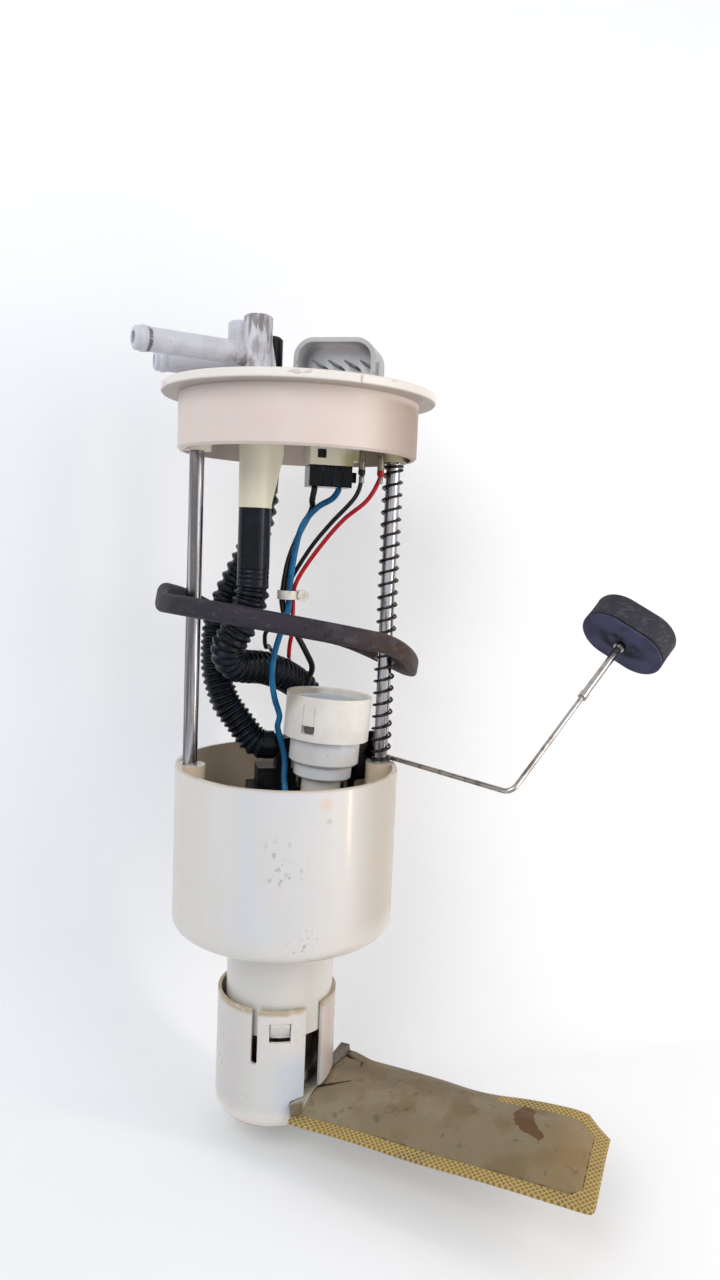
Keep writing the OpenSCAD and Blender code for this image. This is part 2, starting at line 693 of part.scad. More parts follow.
// Reservoir with its pump sleeve, rod sockets and sender rails
module reservoir() {
    e = reservoir_edge_r;
    color("ivory") difference() {
        union() {
            rotate_extrude($fn = 128) polygon(concat(
                [[sleeve_in_r, floor_z], [sleeve_in_r, base_z]],
                arc([reservoir_r - e, base_z + e], e, -90, 0, 5),
                [[reservoir_r, rim_z - 0.5], [reservoir_r - 0.5, rim_z], [reservoir_in_r, rim_z]],
                arc([reservoir_in_r - e + 1, floor_z + e - 1], e - 1, 0, -90, 4)));
            translate([0, 0, sleeve_end])
                ring_of(sleeve_r, sleeve_in_r, floor_z + sleeve_rise - sleeve_end);
            intersection() {
                union() {
                    for (x = [-rod_x, rod_x])
                        translate([x, 0, floor_z - eps]) cylinder(r = socket_r, h = rim_z - floor_z + eps);
                    sender_rails();
                }
                translate([0, 0, base_z]) cylinder(r = reservoir_r - 0.4, h = reservoir_h, $fn = 128);
            }
            sleeve_lugs();
        }
        for (x = [-rod_x, rod_x]) {
            translate([x, 0, rim_z - guide_l]) cylinder(r = guide_r, h = guide_l + eps);
            translate([x, 0, floor_z]) cylinder(r = relief_r, h = rim_z - guide_l - floor_z + eps);
        }
        // Passages through the rim for the arm's hub and for its wire
        sector(reservoir_in_r - 6, reservoir_r + 1, 9.5, 25, rim_z - 3.6, rim_z + 1);
        sector(guide_r + rod_x + 0.1, reservoir_r + 1, 0.5, 9.6, rim_z - 1.1, rim_z + 1);
        // Pocket that keeps the sleeve open above the floor
        translate([0, 0, sleeve_end - eps]) cylinder(r = sleeve_in_r, h = sleeve_l + 30);
    }
}

// Latch lugs that snap into the lower cup's windows
module sleeve_lugs() {
    lug_w = window_w - 1;
    low = -window_h / 2 + 2.6;
    high = window_h / 2 - 0.3;
    reach = cup_r - sleeve_r - 0.5;
    translate([lower_at[0], lower_at[1], window_z]) for (a = [latch_az, latch_az + 180])
        rotate([0, 0, a + 90]) translate([-lug_w / 2, -sleeve_r, 0]) rotate([90, 0, 90]) linear_extrude(lug_w)
            polygon([[1, low], [-0.4, low], [-reach, high - 1.2], [-reach, high], [1, high]]);
}

// Two rails and a ledge on the wall that hold the sender's stem
module sender_rails() {
    rail_t = 1.4;
    rail_y = -9;
    rail_l = 18;
    top = rim_z - 12;
    ledge = sender_foot();
    translate([hinge_at[0], hinge_at[1], 0]) rotate([0, 0, hinge_az]) {
        translate([body_x[0] - loose_gap - rail_t, rail_y, floor_z - eps])
            cube([rail_t, rail_l, top - floor_z]);
        translate([body_x[1] + loose_gap, rail_y, floor_z - eps]) cube([rail_t, rail_l, top - floor_z]);
        translate([body_x[0] - loose_gap - eps, rail_y, floor_z - eps])
            cube([body_x[1] - body_x[0] + 2 * loose_gap + 2 * eps, rail_l, ledge - floor_z]);
    }
}

function sender_foot() = rim_z - 42;

// Frame of the return cup, which leans towards the sprung rod
module at_cup() {
    translate([cup_at[0], cup_at[1], cover_top]) rotate([0, cup_lean, 0]) translate([0, 0, -cover_top]) children();
}

// Cap over the top of the sleeve, with the socket for the return cup
module pump_cover() {
    plate = 2.5;
    socket_h = 6.5;
    inner_r = cover_r - cover_wall;
    color("linen") difference() {
        union() {
            translate([0, 0, floor_z]) cylinder(r = cover_r, h = cover_top - floor_z);
            at_cup() cylinder_at(funnel_stem_d / 2 + 2, cover_top - 1.5, cover_top + socket_h);
        }
        translate([0, 0, floor_z - eps]) cylinder(r = inner_r, h = cover_top - plate - floor_z + eps);
        at_cup() cylinder_at(funnel_stem_d / 2 + push_gap, cover_top, cover_top + socket_h + eps);
        translate([outlet_at[0], outlet_at[1], cover_top - plate - eps])
            cylinder(r = outlet_r + 0.6, h = plate + 2 * eps);
    }
}

// Steel can of the pump motor
module pump_can() {
    color("lightgray") translate([0, 0, pump_foot]) ring_of(pump_r, pump_r - pump_wall, pump_l);
}

// Plastic outlet end with its nipple and shaft bearing
module pump_outlet_cap() {
    seat = 3;
    color("#303030") difference() {
        union() {
            translate([0, 0, pump_top]) cylinder(r = pump_r, h = cap_h - 1);
            translate([0, 0, pump_top + cap_h - 1 - eps])
                cylinder(r1 = pump_r, r2 = pump_r - 1, h = 1 + eps);
            translate([0, 0, pump_top - seat]) cylinder(r = pump_r - pump_wall - push_gap, h = seat + eps);
            translate([outlet_at[0], outlet_at[1], pump_top + cap_h - eps])
                cylinder(r = outlet_r, h = outlet_top - pump_top - cap_h + eps);
        }
        translate([0, 0, pump_top - seat - eps]) cylinder(d = shaft_d + 2 * turn_gap, h = seat + 4);
        translate([outlet_at[0], outlet_at[1], pump_top + 2])
            cylinder(r = outlet_r - 1.4, h = outlet_top - pump_top);
    }
}

// Inlet end with the impeller's chamber and the inlet nipple
module pump_inlet_cap() {
    nipple_r = 6;
    chamber_h = 3.4;
    seat = 6;
    color("#303030") difference() {
        union() {
            translate([0, 0, pump_foot - inlet_h + 1]) cylinder(r = pump_r, h = inlet_h - 1);
            translate([0, 0, pump_foot - inlet_h]) cylinder(r1 = pump_r - 1, r2 = pump_r, h = 1 + eps);
            translate([0, 0, pump_foot - eps]) cylinder(r = pump_r - pump_wall - push_gap, h = seat + eps);
            translate([0, 0, pump_foot - inlet_h - 4]) cylinder(r = nipple_r, h = 4 + eps);
        }
        translate([0, 0, pump_foot - 0.2]) cylinder(r = impeller_d / 2 + 0.3, h = chamber_h);
        translate([0, 0, pump_foot - 2]) cylinder(d = shaft_d + 2 * turn_gap, h = seat + 4);
        translate([0, 0, pump_foot - inlet_h - 4 - eps]) cylinder(r = 2.6, h = inlet_h + 2);
        translate([9, 0, pump_foot - eps]) cylinder(r = 2, h = seat + 1);
    }
}

// Two curved magnets inside the can
module pump_magnets() {
    out_r = pump_r - pump_wall - push_gap;
    color("#404040") for (a = [20, 200])
        sector(armature_d / 2 + 0.8, out_r, a, a + 140, pump_foot + 14, pump_top - 10);
}

// Wound armature with its shaft and commutator
module armature() {
    low = pump_foot + 16;
    high = pump_top - 12;
    color("#b87333") {
        difference() {
            translate([0, 0, low]) cylinder(d = armature_d, h = high - low);
            for (a = [0:45:315])
                rotate([0, 0, a]) translate([armature_d / 2 - 3, -0.9, low - eps])
                    cube([4, 1.8, high - low + 2 * eps]);
        }
        translate([0, 0, high - eps]) cylinder(d = 12, h = 6);
        translate([0, 0, pump_foot - 1.6]) cylinder(d = shaft_d, h = pump_l + 1.6);
    }
}

// Vaned impeller on the lower end of the shaft
module impeller() {
    h = 2.8;
    color("#8a5a2b") translate([0, 0, pump_foot + 0.1]) difference() {
        cylinder(d = impeller_d, h = h);
        translate([0, 0, -eps]) cylinder(d = shaft_d + 2 * push_gap, h = h + 2 * eps);
        for (i = [0:impeller_vanes - 1])
            rotate([0, 0, 360 * i / impeller_vanes]) translate([impeller_d / 2 - 2.4, -0.8, -eps])
                cube([3, 1.6, h + 2 * eps]);
    }
}

// Rubber sleeve that holds the pump in the reservoir's sleeve
module pump_isolator() {
    h = 34;
    bottom = sleeve_end + 6;
    color("#1c1c1c") difference() {
        translate([0, 0, bottom]) ring_of(sleeve_in_r - push_gap, pump_r + push_gap, h);
        for (a = [0:30:330])
            rotate([0, 0, a]) translate([sleeve_in_r, 0, bottom - eps]) cylinder(r = 1.4, h = h + 2 * eps);
    }
}

// Plug on the pump cover for the two pump leads
module pump_plug() {
    size = [10, 7, plug_top - cover_top];
    color("#222222") translate([plug_at[0] - size[0] / 2, plug_at[1] - size[1] / 2, cover_top]) {
        cube([size[0], size[1], size[2] - 2]);
        translate([1, 1, size[2] - 2 - eps]) cube([size[0] - 2, size[1] - 2, 2 + eps]);
    }
}

// Outlet tube from the pump's nipple to the feed hose
module feed_elbow() {
    run = elbow_at - outlet_at;
    turn = atan2(run[1], run[0]);
    color("#2b2b2b") difference() {
        union() {
            translate([outlet_at[0], outlet_at[1], cover_top + 0.3])
                cylinder(r = outlet_r + 1.6, h = elbow_z - cover_top - 0.3);
            translate([outlet_at[0], outlet_at[1], elbow_z]) sphere(r = outlet_r + 1.6, $fn = 48);
            translate([outlet_at[0], outlet_at[1], elbow_z]) rotate([0, 90, turn])
                cylinder(r = elbow_tube_r, h = norm(run));
            translate([elbow_at[0], elbow_at[1], elbow_z]) sphere(r = elbow_tube_r, $fn = 48);
            translate([elbow_at[0], elbow_at[1], elbow_z]) cylinder(r = elbow_tube_r, h = elbow_top - elbow_z);
            translate([elbow_at[0], elbow_at[1], elbow_top - 3]) cylinder(r = elbow_tube_r + 1.5, h = 3);
        }
        translate([outlet_at[0], outlet_at[1], cover_top])
            cylinder(r = outlet_r + push_gap, h = outlet_top - cover_top + 0.2);
    }
}

// Stepped fitting that takes the return hose down to the pump cover
module return_elbow() {
    tip = RETURN_ROUTE[len(RETURN_ROUTE) - 1];
    block_top = rim_z - 5;
    column = [-10, 19];
    color("#1f1f1f") {
        translate([tip[0], tip[1], tip[2]]) rotate([0, 90, 0]) cylinder(r = 5.4, h = 3);
        translate([tip[0] + 2, tip[1], tip[2]]) rotate([0, 90, 0]) cylinder(r = 4.2, h = 3.2);
        translate([tip[0] + 1, tip[1] - 4.5, block_top - eps]) cube([7, 9, tip[2] - block_top + 4]);
        translate([-12, 10, block_top - 9]) cube([18, 14, 9]);
        translate([-16, 9.5, block_top - 26]) cube([24, 15.5, 17 + eps]);
        translate([column[0], column[1], cover_top]) cylinder(r = 5.5, h = block_top - 26 - cover_top + eps);
    }
}

// Inner body of the return cup: wide top, two steps and a stem
module return_funnel() {
    w = funnel_wall;
    top_r = collar_d / 2 - collar_wall - loose_gap;
    step_r = funnel_step_d / 2;
    neck_r = funnel_neck_d / 2;
    stem_r = funnel_stem_d / 2;
    top = collar_top - 3;
    color("whitesmoke") at_cup() rotate_extrude($fn = 96) polygon(
        [[0, stem_foot], [stem_r, stem_foot], [stem_r, neck_foot], [neck_r - 0.6, neck_foot],
         [neck_r, neck_foot + 0.6], [neck_r, step_foot], [step_r - 1, step_foot], [step_r, step_foot + 1],
         [step_r, collar_foot], [top_r, collar_foot], [top_r, top], [top_r - w, top],
         [top_r - w, collar_foot + w], [step_r - w, collar_foot + w - 1], [step_r - w, step_foot + w],
         [neck_r - w, step_foot + w - 1], [neck_r - w, neck_foot + w], [stem_r - w, neck_foot + w - 1],
         [stem_r - w, stem_foot + 4], [0, stem_foot + 4]]);
}

// Snap-on collar round the funnel's top, with its latch window
module cup_collar() {
    r = collar_d / 2;
    window = [6.5, 3.8];
    window_top = collar_foot + 7;
    color("white") at_cup() difference() {
        translate([0, 0, collar_foot]) ring_of(r, r - collar_wall, collar_h);
        for (a = [-127, 53]) rotate([0, 0, a + 90]) {
            translate([-window[0] / 2, -r - 1, window_top - window[1]]) cube([window[0], 4, window[1]]);
            // Grooves that free the latch tongue
            for (x = [-1, 1])
                translate([x * (window[0] / 2 - 0.4) - 0.3, -r - 0.5, window_top - eps])
                    cube([0.6, 1.1, 9]);
        }
        translate([0, 0, collar_top - 0.7])
            cylinder(r1 = r - collar_wall, r2 = r - collar_wall + 0.7, h = 0.7 + eps);
    }
}

// Retaining cup that snaps onto the sleeve and leaves a gate for the strainer
module lower_cup() {
    e = cup_edge_r;
    color("ivory") translate([lower_at[0], lower_at[1], 0]) difference() {
        rotate_extrude($fn = 128) polygon(concat(
            [[0, cup_foot]],
            arc([cup_r - e, cup_foot + e], e, -90, 0, 5),
            [[cup_r, cup_top], [cup_in_r, cup_top]],
            arc([cup_in_r - e + 1.5, cup_foot + cup_floor_t + e - 1.5], e - 1.5, 0, -90, 4),
            [[0, cup_foot + cup_floor_t]]));
        // Relief slots and windows of the two latches
        for (a = [latch_az, latch_az + 180]) rotate([0, 0, a + 90]) {
            for (x = [-1, 1]) if (x < 0 || a > 0) relief_slot(x);
            translate([-window_w / 2, -cup_r - 1, window_z - window_h / 2]) cube([window_w, 6, window_h]);
        }
        // Gate beside the front latch
        sector(cup_in_r - 4, cup_r + 1, gate_from, gate_to, sock_z, cup_top + 1);
        // Mouth for the strainer's bar
        translate([-lower_at[0], -lower_at[1], 0]) at_sock()
            translate([-0.7, bar_shift - bar_l / 2 - 1, -bar_h / 2 - 1]) cube([20, bar_l + 2, bar_h + 2]);
    }
}

module relief_slot(x) {
    at = cup_r * sin(latch_half);
    back = cup_r * cos(latch_half);
    rotate([0, 0, x * latch_half]) translate([0, -cup_r - 1, cup_top - slot_depth]) {
        translate([-cup_slot_w / 2, 0, 0]) cube([cup_slot_w, 6, slot_depth + 1]);
        translate([0, 6, 0]) rotate([90, 0, 0]) cylinder(d = cup_slot_w, h = 6);
    }
}

// Frame of the strainer: origin at the middle of the bag's root, +X along the bag
module at_sock() {
    rotate([0, 0, sock_az]) translate([bar_from, sock_shift, sock_z]) rotate([sock_roll, -sock_pitch, 0]) children();
}

// Neck on the pump's inlet and the bar that the bag is welded to
module strainer_frame() {
    top = pump_foot - inlet_h - 0.3;
    neck_top = sock_z + bar_h / 2 - 0.8;
    neck_foot_z = neck_top - neck_t;
    color("gainsboro") difference() {
        union() {
            cylinder_at(8.4, neck_foot_z, top);
            rotate([0, 0, sock_az]) translate([0, -neck_w / 2, neck_foot_z]) cube([bar_from + 1, neck_w, neck_t]);
            at_sock() translate([0, bar_shift - bar_l / 2, -bar_h / 2]) cube([bar_w, bar_l, bar_h]);
        }
        translate([0, 0, pump_foot - inlet_h - 4]) cylinder(r = 6 + push_gap, h = 6);
    }
}

module cylinder_at(r, z0, z1) {
    translate([0, 0, z0]) cylinder(r = r, h = z1 - z0);
}

// Outline of the bag, inset from its edge
module sock_outline(inset) {
    x0 = bar_w;
    x1 = x0 + sock_l - inset;
    y0 = -sock_w / 2 + inset;
    y1 = sock_w / 2 - inset;
    cut = sock_cut - inset * 0.6;
    polygon([[x0, y0], [x1 - 3, y0], [x1, y0 + 3], [x1, y1 - cut], [x1 - cut, y1], [x0, y1]]);
}

// Fabric strainer bag: a sealed border and a padded middle
module strainer_sock() {
    color("#8c7d68") at_sock() {
        translate([0, 0, -border_t / 2]) linear_extrude(border_t) sock_outline(0);
        hull() {
            translate([0, 0, -border_t / 2]) linear_extrude(border_t) sock_outline(border_w);
            translate([0, 0, -sock_t / 2]) linear_extrude(sock_t) sock_outline(border_w + 5);
        }
    }
}

module at_hinge() {
    translate(hinge_at) rotate([0, 0, hinge_az]) children();
}

// Black sender body, a flat stem between the reservoir's rails
module sender_body() {
    foot = sender_foot() - rim_z - hinge_z;
    t = body_x[1] - body_x[0];
    color("#161616") at_hinge() difference() {
        union() {
            translate([body_x[0], -8, foot + loose_gap]) cube([t, 9.4, -12 - foot]);
            translate([body_x[0], body_in, -13]) cube([t, 1.4 - body_in, 22]);
            translate([body_x[0], body_in + 2, 9 - eps]) cube([t, 7, 3]);
            // Rim beside the card
            translate([body_x[1] - eps, body_in, -13]) cube([1.4, 1.4, 22]);
        }
        translate([body_x[0] - eps, 0, 0]) rotate([0, 90, 0])
            cylinder(r = arm_r + turn_gap, h = t + 2 * eps);
    }
}

// Ceramic card that the wiper sweeps
module sender_card() {
    color("#d8d4c0") at_hinge() difference() {
        translate([body_x[1], body_in + 1.6, -11]) cube([card_t, -0.6 - body_in, 20]);
        translate([body_x[1] - eps, 0, 0]) rotate([0, 90, 0])
            cylinder(r = arm_r + 0.6, h = card_t + 2 * eps);
    }
}

// Hub with its wiper lever, fixed on the arm
module arm_hub() {
    lever = [3, 3.4, 10.5];
    color("#262626") at_hinge() difference() {
        union() {
            translate([hub_x[0], 0, 0]) rotate([0, 90, 0]) cylinder(r = hub_r, h = hub_x[1] - hub_x[0]);
            translate([hub_x[0], -lever[1] / 2, 0]) cube(lever);
        }
        translate([hub_x[0] - eps, 0, 0]) rotate([0, 90, 0])
            cylinder(r = arm_r + push_gap, h = hub_x[1] - hub_x[0] + 2 * eps);
    }
}

// Frame of the arm's outer leg: origin at the bend, +X along the leg
module at_leg() {
    at_hinge() translate([arm_reach, 0, 0]) rotate([0, -arm_rest, 90]) children();
}

// Bent wire: the hinge leg, a square bend and the long leg
module float_arm() {
    bend = arm_bend_r + arm_r;
    start = body_x[0] + 0.4;
    leg_end = arm_l + float_t + 3;
    color("silver") {
        at_hinge() translate([start, 0, 0]) rotate([0, 90, 0])
            cylinder(r = arm_r, h = arm_reach - bend - start + eps, $fn = 32);
        at_hinge() rotate([arm_rest, 0, 0]) translate([arm_reach - bend, bend, 0]) rotate([0, 0, -90])
            rotate_extrude(angle = 90, $fn = 64) translate([bend, 0]) circle(r = arm_r + 0.01, $fn = 32);
        at_leg() translate([bend - eps, 0, 0]) rotate([0, 90, 0])
            cylinder(r = arm_r, h = leg_end - bend + eps, $fn = 32);
    }
}

// Sleeve on the arm's end that the float turns on
module float_sleeve() {
    from = arm_l - float_sleeve_l;
    to = arm_l + float_t + 1;
    color("gainsboro") at_leg() rotate([0, 90, 0]) difference() {
        union() {
            translate([0, 0, from]) cylinder(r = float_sleeve_r, h = to - from);
            translate([0, 0, from]) cylinder(r = float_sleeve_r + 0.35, h = 3);
            translate([0, 0, arm_l - 2.2]) cylinder(r = float_sleeve_r + 0.9, h = 1);
        }
        translate([0, 0, from - eps]) cylinder(r = arm_r + push_gap, h = to - from + 2 * eps);
    }
}

// Push-on clip beyond the float
module float_clip() {
    color("gray") at_leg() translate([arm_l + float_t + 1 + push_gap, 0, 0]) rotate([0, 90, 0])
        ring_of(float_sleeve_r + 1.2, arm_r + push_gap, 0.8);
}

// Closed-cell float with a through bore
module float() {
    r = float_w / 2;
    color("#3a3a50") at_leg() translate([arm_l, 0, 0]) rotate([float_turn_az + 90, 0, 0]) rotate([0, 90, 0])
        difference() {
            linear_extrude(float_t) union() {
                square([float_w, float_l - float_w], center = true);
                for (y = [-1, 1]) translate([0, y * (float_l - float_w) / 2]) circle(r = r, $fn = 96);
            }
            translate([0, 0, -eps]) cylinder(r = float_sleeve_r + turn_gap, h = float_t + 2 * eps);
            translate([0, 0, -eps]) cylinder(r = float_sleeve_r + 0.7, h = 1.5);
        }
}

module feed_hose() {
    color("#1a1d24") hose(FEED_ROUTE, feed_hose_d, 3);
}

module return_hose() {
    color("#1a1d24") hose(RETURN_ROUTE, return_hose_d, 0);
}

module lead_blue() {
    color("#1f5f86") lead(BLUE_ROUTE, lead_d);
}

module lead_black() {
    color("#202020") lead(BLACK_ROUTE, lead_d);
}

module lead_red() {
    color("#a81e2a") lead(RED_ROUTE, thin_lead_d);
}

module lead_sender() {
    color("#303030") lead(SENDER_ROUTE, thin_lead_d);
}

// Tie round the four leads, with its locking head
module cable_tie() {
    at = [-0.9, 8.9, -87.8];
    inner = 4.2;
    band = 0.8;
    h = 4;
    color("white") translate(at) {
        ring_of(inner + band, inner, h);
        translate([inner + band + 1.5, -4.4, h / 2]) rotate([-90, 0, 0]) cylinder(r = 2.6, h = 4.4);
    }
}

flange();
feed_port();
return_port();
return_valve();
connector_shroud();
terminal_blades();
inner_plug();
sender_tabs();
seal_ring();
guide_rod_plain();
guide_rod_sprung();
rod_clips();
spring_washer();
spring();
reservoir();
pump_cover();
pump_can();
pump_outlet_cap();
pump_inlet_cap();
pump_magnets();
armature();
impeller();
pump_isolator();
pump_plug();
feed_elbow();
return_elbow();
return_funnel();
cup_collar();
lower_cup();
strainer_frame();
strainer_sock();
sender_body();
sender_card();
arm_hub();
float_arm();
float_sleeve();
float_clip();
float();
feed_hose();
return_hose();
lead_blue();
lead_black();
lead_red();
lead_sender();
cable_tie();
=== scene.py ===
import logging
import math
from dataclasses import dataclass
from enum import Enum
from typing import Any, ClassVar, Sequence

import bmesh
import bpy
import numpy as np
from mathutils import Matrix, Vector, noise


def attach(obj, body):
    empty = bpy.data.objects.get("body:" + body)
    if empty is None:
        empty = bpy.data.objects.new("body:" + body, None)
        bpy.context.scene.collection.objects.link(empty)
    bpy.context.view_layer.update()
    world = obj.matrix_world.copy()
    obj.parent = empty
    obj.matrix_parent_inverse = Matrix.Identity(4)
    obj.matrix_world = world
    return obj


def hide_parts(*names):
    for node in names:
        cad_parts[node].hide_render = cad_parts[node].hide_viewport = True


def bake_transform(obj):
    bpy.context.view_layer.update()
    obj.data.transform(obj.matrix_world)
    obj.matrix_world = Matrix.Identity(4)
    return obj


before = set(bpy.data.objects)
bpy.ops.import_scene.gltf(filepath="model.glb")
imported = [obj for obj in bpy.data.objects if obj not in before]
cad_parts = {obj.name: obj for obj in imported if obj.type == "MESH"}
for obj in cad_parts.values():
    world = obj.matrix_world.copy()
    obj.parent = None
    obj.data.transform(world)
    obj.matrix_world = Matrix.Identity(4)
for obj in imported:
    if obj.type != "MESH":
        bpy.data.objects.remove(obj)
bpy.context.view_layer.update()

logging.basicConfig(level=logging.INFO, format="%(name)s: %(message)s")
LOG = logging.getLogger("fuel_module")

MM = 0.001

# The least roughness of any finish, and the noise that makes each one uneven.
SMOOTHEST = 0.02
BLOTCH_DETAIL = 3.0
BLOTCH_EDGES = (0.3, 0.7)
Point = tuple[float, float, float]


def linear(code: str) -> tuple[float, float, float, float]:
    """Turns an sRGB hex colour into the linear colour that a shader takes.

    Args:
        code: six hex digits after a hash.

    Returns:
        Red, green, blue and an alpha of 1.
    """
    parts = [int(code[i:i + 2], 16) / 255 for i in (1, 3, 5)]
    return (*(c / 12.92 if c <= 0.04045 else ((c + 0.055) / 1.055) ** 2.4 for c in parts), 1.0)


def per_metre(size_mm: float) -> float:
    """Gives the texture scale at which a pattern's features are this many millimetres wide."""
    return 1 / (size_mm * MM)


def add_node(tree: bpy.types.NodeTree, kind: str, inputs: dict[Any, Any] | None = None,
             **settings: Any) -> bpy.types.Node:
    """Adds a node, sets it up and links it.

    Args:
        tree: the node tree it goes into.
        kind: Blender's name for the node.
        inputs: values for its inputs, by name or number; an output socket is linked.
        settings: the node's own properties.

    Returns:
        The new node.
    """
    node = tree.nodes.new(kind)
    for name, value in settings.items():
        setattr(node, name, value)
    for key, value in (inputs or {}).items():
        if isinstance(value, bpy.types.NodeSocket):
            tree.links.new(value, node.inputs[key])
        else:
            node.inputs[key].default_value = value
    return node


def empty_tree(owner: bpy.types.Material | bpy.types.World) -> bpy.types.NodeTree:
    """Clears the node tree of a new material or world.

    Args:
        owner: the material or the world.

    Returns:
        Its node tree, with no nodes in it.
    """
    owner.use_nodes = True
    owner.node_tree.nodes.clear()
    return owner.node_tree


# Finishes

class Reach(Enum):
    """What a zone of a surface is measured along."""

    UP = "height above the seat plane"
    ACROSS = "distance along X"
    DEEP = "distance along Y"
    RADIUS = "distance from an upright axis"
    POINT = "distance from a point"
    MARK = "a mark stored on the mesh"


@dataclass(frozen=True)
class Zone:
    """A part of a surface that fades in between two distances."""

    reach: Reach
    start_mm: float
    full_mm: float
    centre_mm: Point = (0.0, 0.0, 0.0)
    mark: str = ""

    def mask(self, tree: bpy.types.NodeTree, place: bpy.types.NodeSocket) -> bpy.types.NodeSocket:
        """Makes the zone's mask.

        Args:
            tree: the material's nodes.
            place: the point on the surface, in metres.

        Returns:
            A value from 0 outside the zone to 1 inside it.
        """
        scale = MM
        if self.reach is Reach.MARK:
            value = add_node(tree, "ShaderNodeAttribute", attribute_name=self.mark).outputs["Fac"]
            scale = 1.0
        elif self.reach is Reach.POINT:
            value = add_node(tree, "ShaderNodeVectorMath",
                             {0: place, 1: [c * MM for c in self.centre_mm]},
                             operation="DISTANCE").outputs["Value"]
        elif self.reach is Reach.RADIUS:
            flat = add_node(tree, "ShaderNodeVectorMath", {0: place, 1: (1.0, 1.0, 0.0)},
                            operation="MULTIPLY").outputs["Vector"]
            value = add_node(tree, "ShaderNodeVectorMath",
                             {0: flat, 1: [self.centre_mm[0] * MM, self.centre_mm[1] * MM, 0.0]},
                             operation="DISTANCE").outputs["Value"]
        else:
            axis = {Reach.ACROSS: "X", Reach.DEEP: "Y", Reach.UP: "Z"}[self.reach]
            value = add_node(tree, "ShaderNodeSeparateXYZ", {0: place}).outputs[axis]
        return add_node(tree, "ShaderNodeMapRange",
                        {"Value": value, "From Min": self.start_mm * scale,
                         "From Max": self.full_mm * scale},
                        interpolation_type="SMOOTHSTEP").outputs["Result"]


@dataclass(frozen=True)
class Cloud:
    """Patches of another colour, such as a stain, a bloom or grime, or a plain tint of a zone."""

    colour: str
    strength: float = 1.0
    size_mm: float = 0.0
    edge: tuple[float, float] = (0.5, 0.6)
    stretch: Point = (1.0, 1.0, 1.0)
    detail: float = 4.0
    zones: tuple[Zone, ...] = ()

    def mask(self, tree: bpy.types.NodeTree, place: bpy.types.NodeSocket) -> bpy.types.NodeSocket:
        """Makes the mask of the patches.

        Args:
            tree: the material's nodes.
            place: the point on the surface, in metres.

        Returns:
            How much of this colour shows, from 0 to 1.
        """
        parts = [zone.mask(tree, place) for zone in self.zones]
        if self.size_mm:
            spread = add_node(tree, "ShaderNodeVectorMath", {0: place, 1: self.stretch},
                              operation="MULTIPLY").outputs["Vector"]
            field_of = add_node(tree, "ShaderNodeTexNoise",
                                {"Vector": spread, "Scale": per_metre(self.size_mm),
                                 "Detail": self.detail}).outputs[0]
            parts.append(add_node(tree, "ShaderNodeMapRange",
                                  {"Value": field_of, "From Min": self.edge[0],
                                   "From Max": self.edge[1]},
                                  interpolation_type="SMOOTHSTEP").outputs["Result"])
        total: Any = self.strength
        for part in parts:
            total = add_node(tree, "ShaderNodeMath", {0: part, 1: total},
                             operation="MULTIPLY").outputs[0]
        return total


@dataclass(frozen=True)
class Grain:
    """Fine relief left by the mould, the die or wear."""

    size_mm: float
    depth_mm: float
    stretch: Point = (1.0, 1.0, 1.0)
    detail: float = 3.0


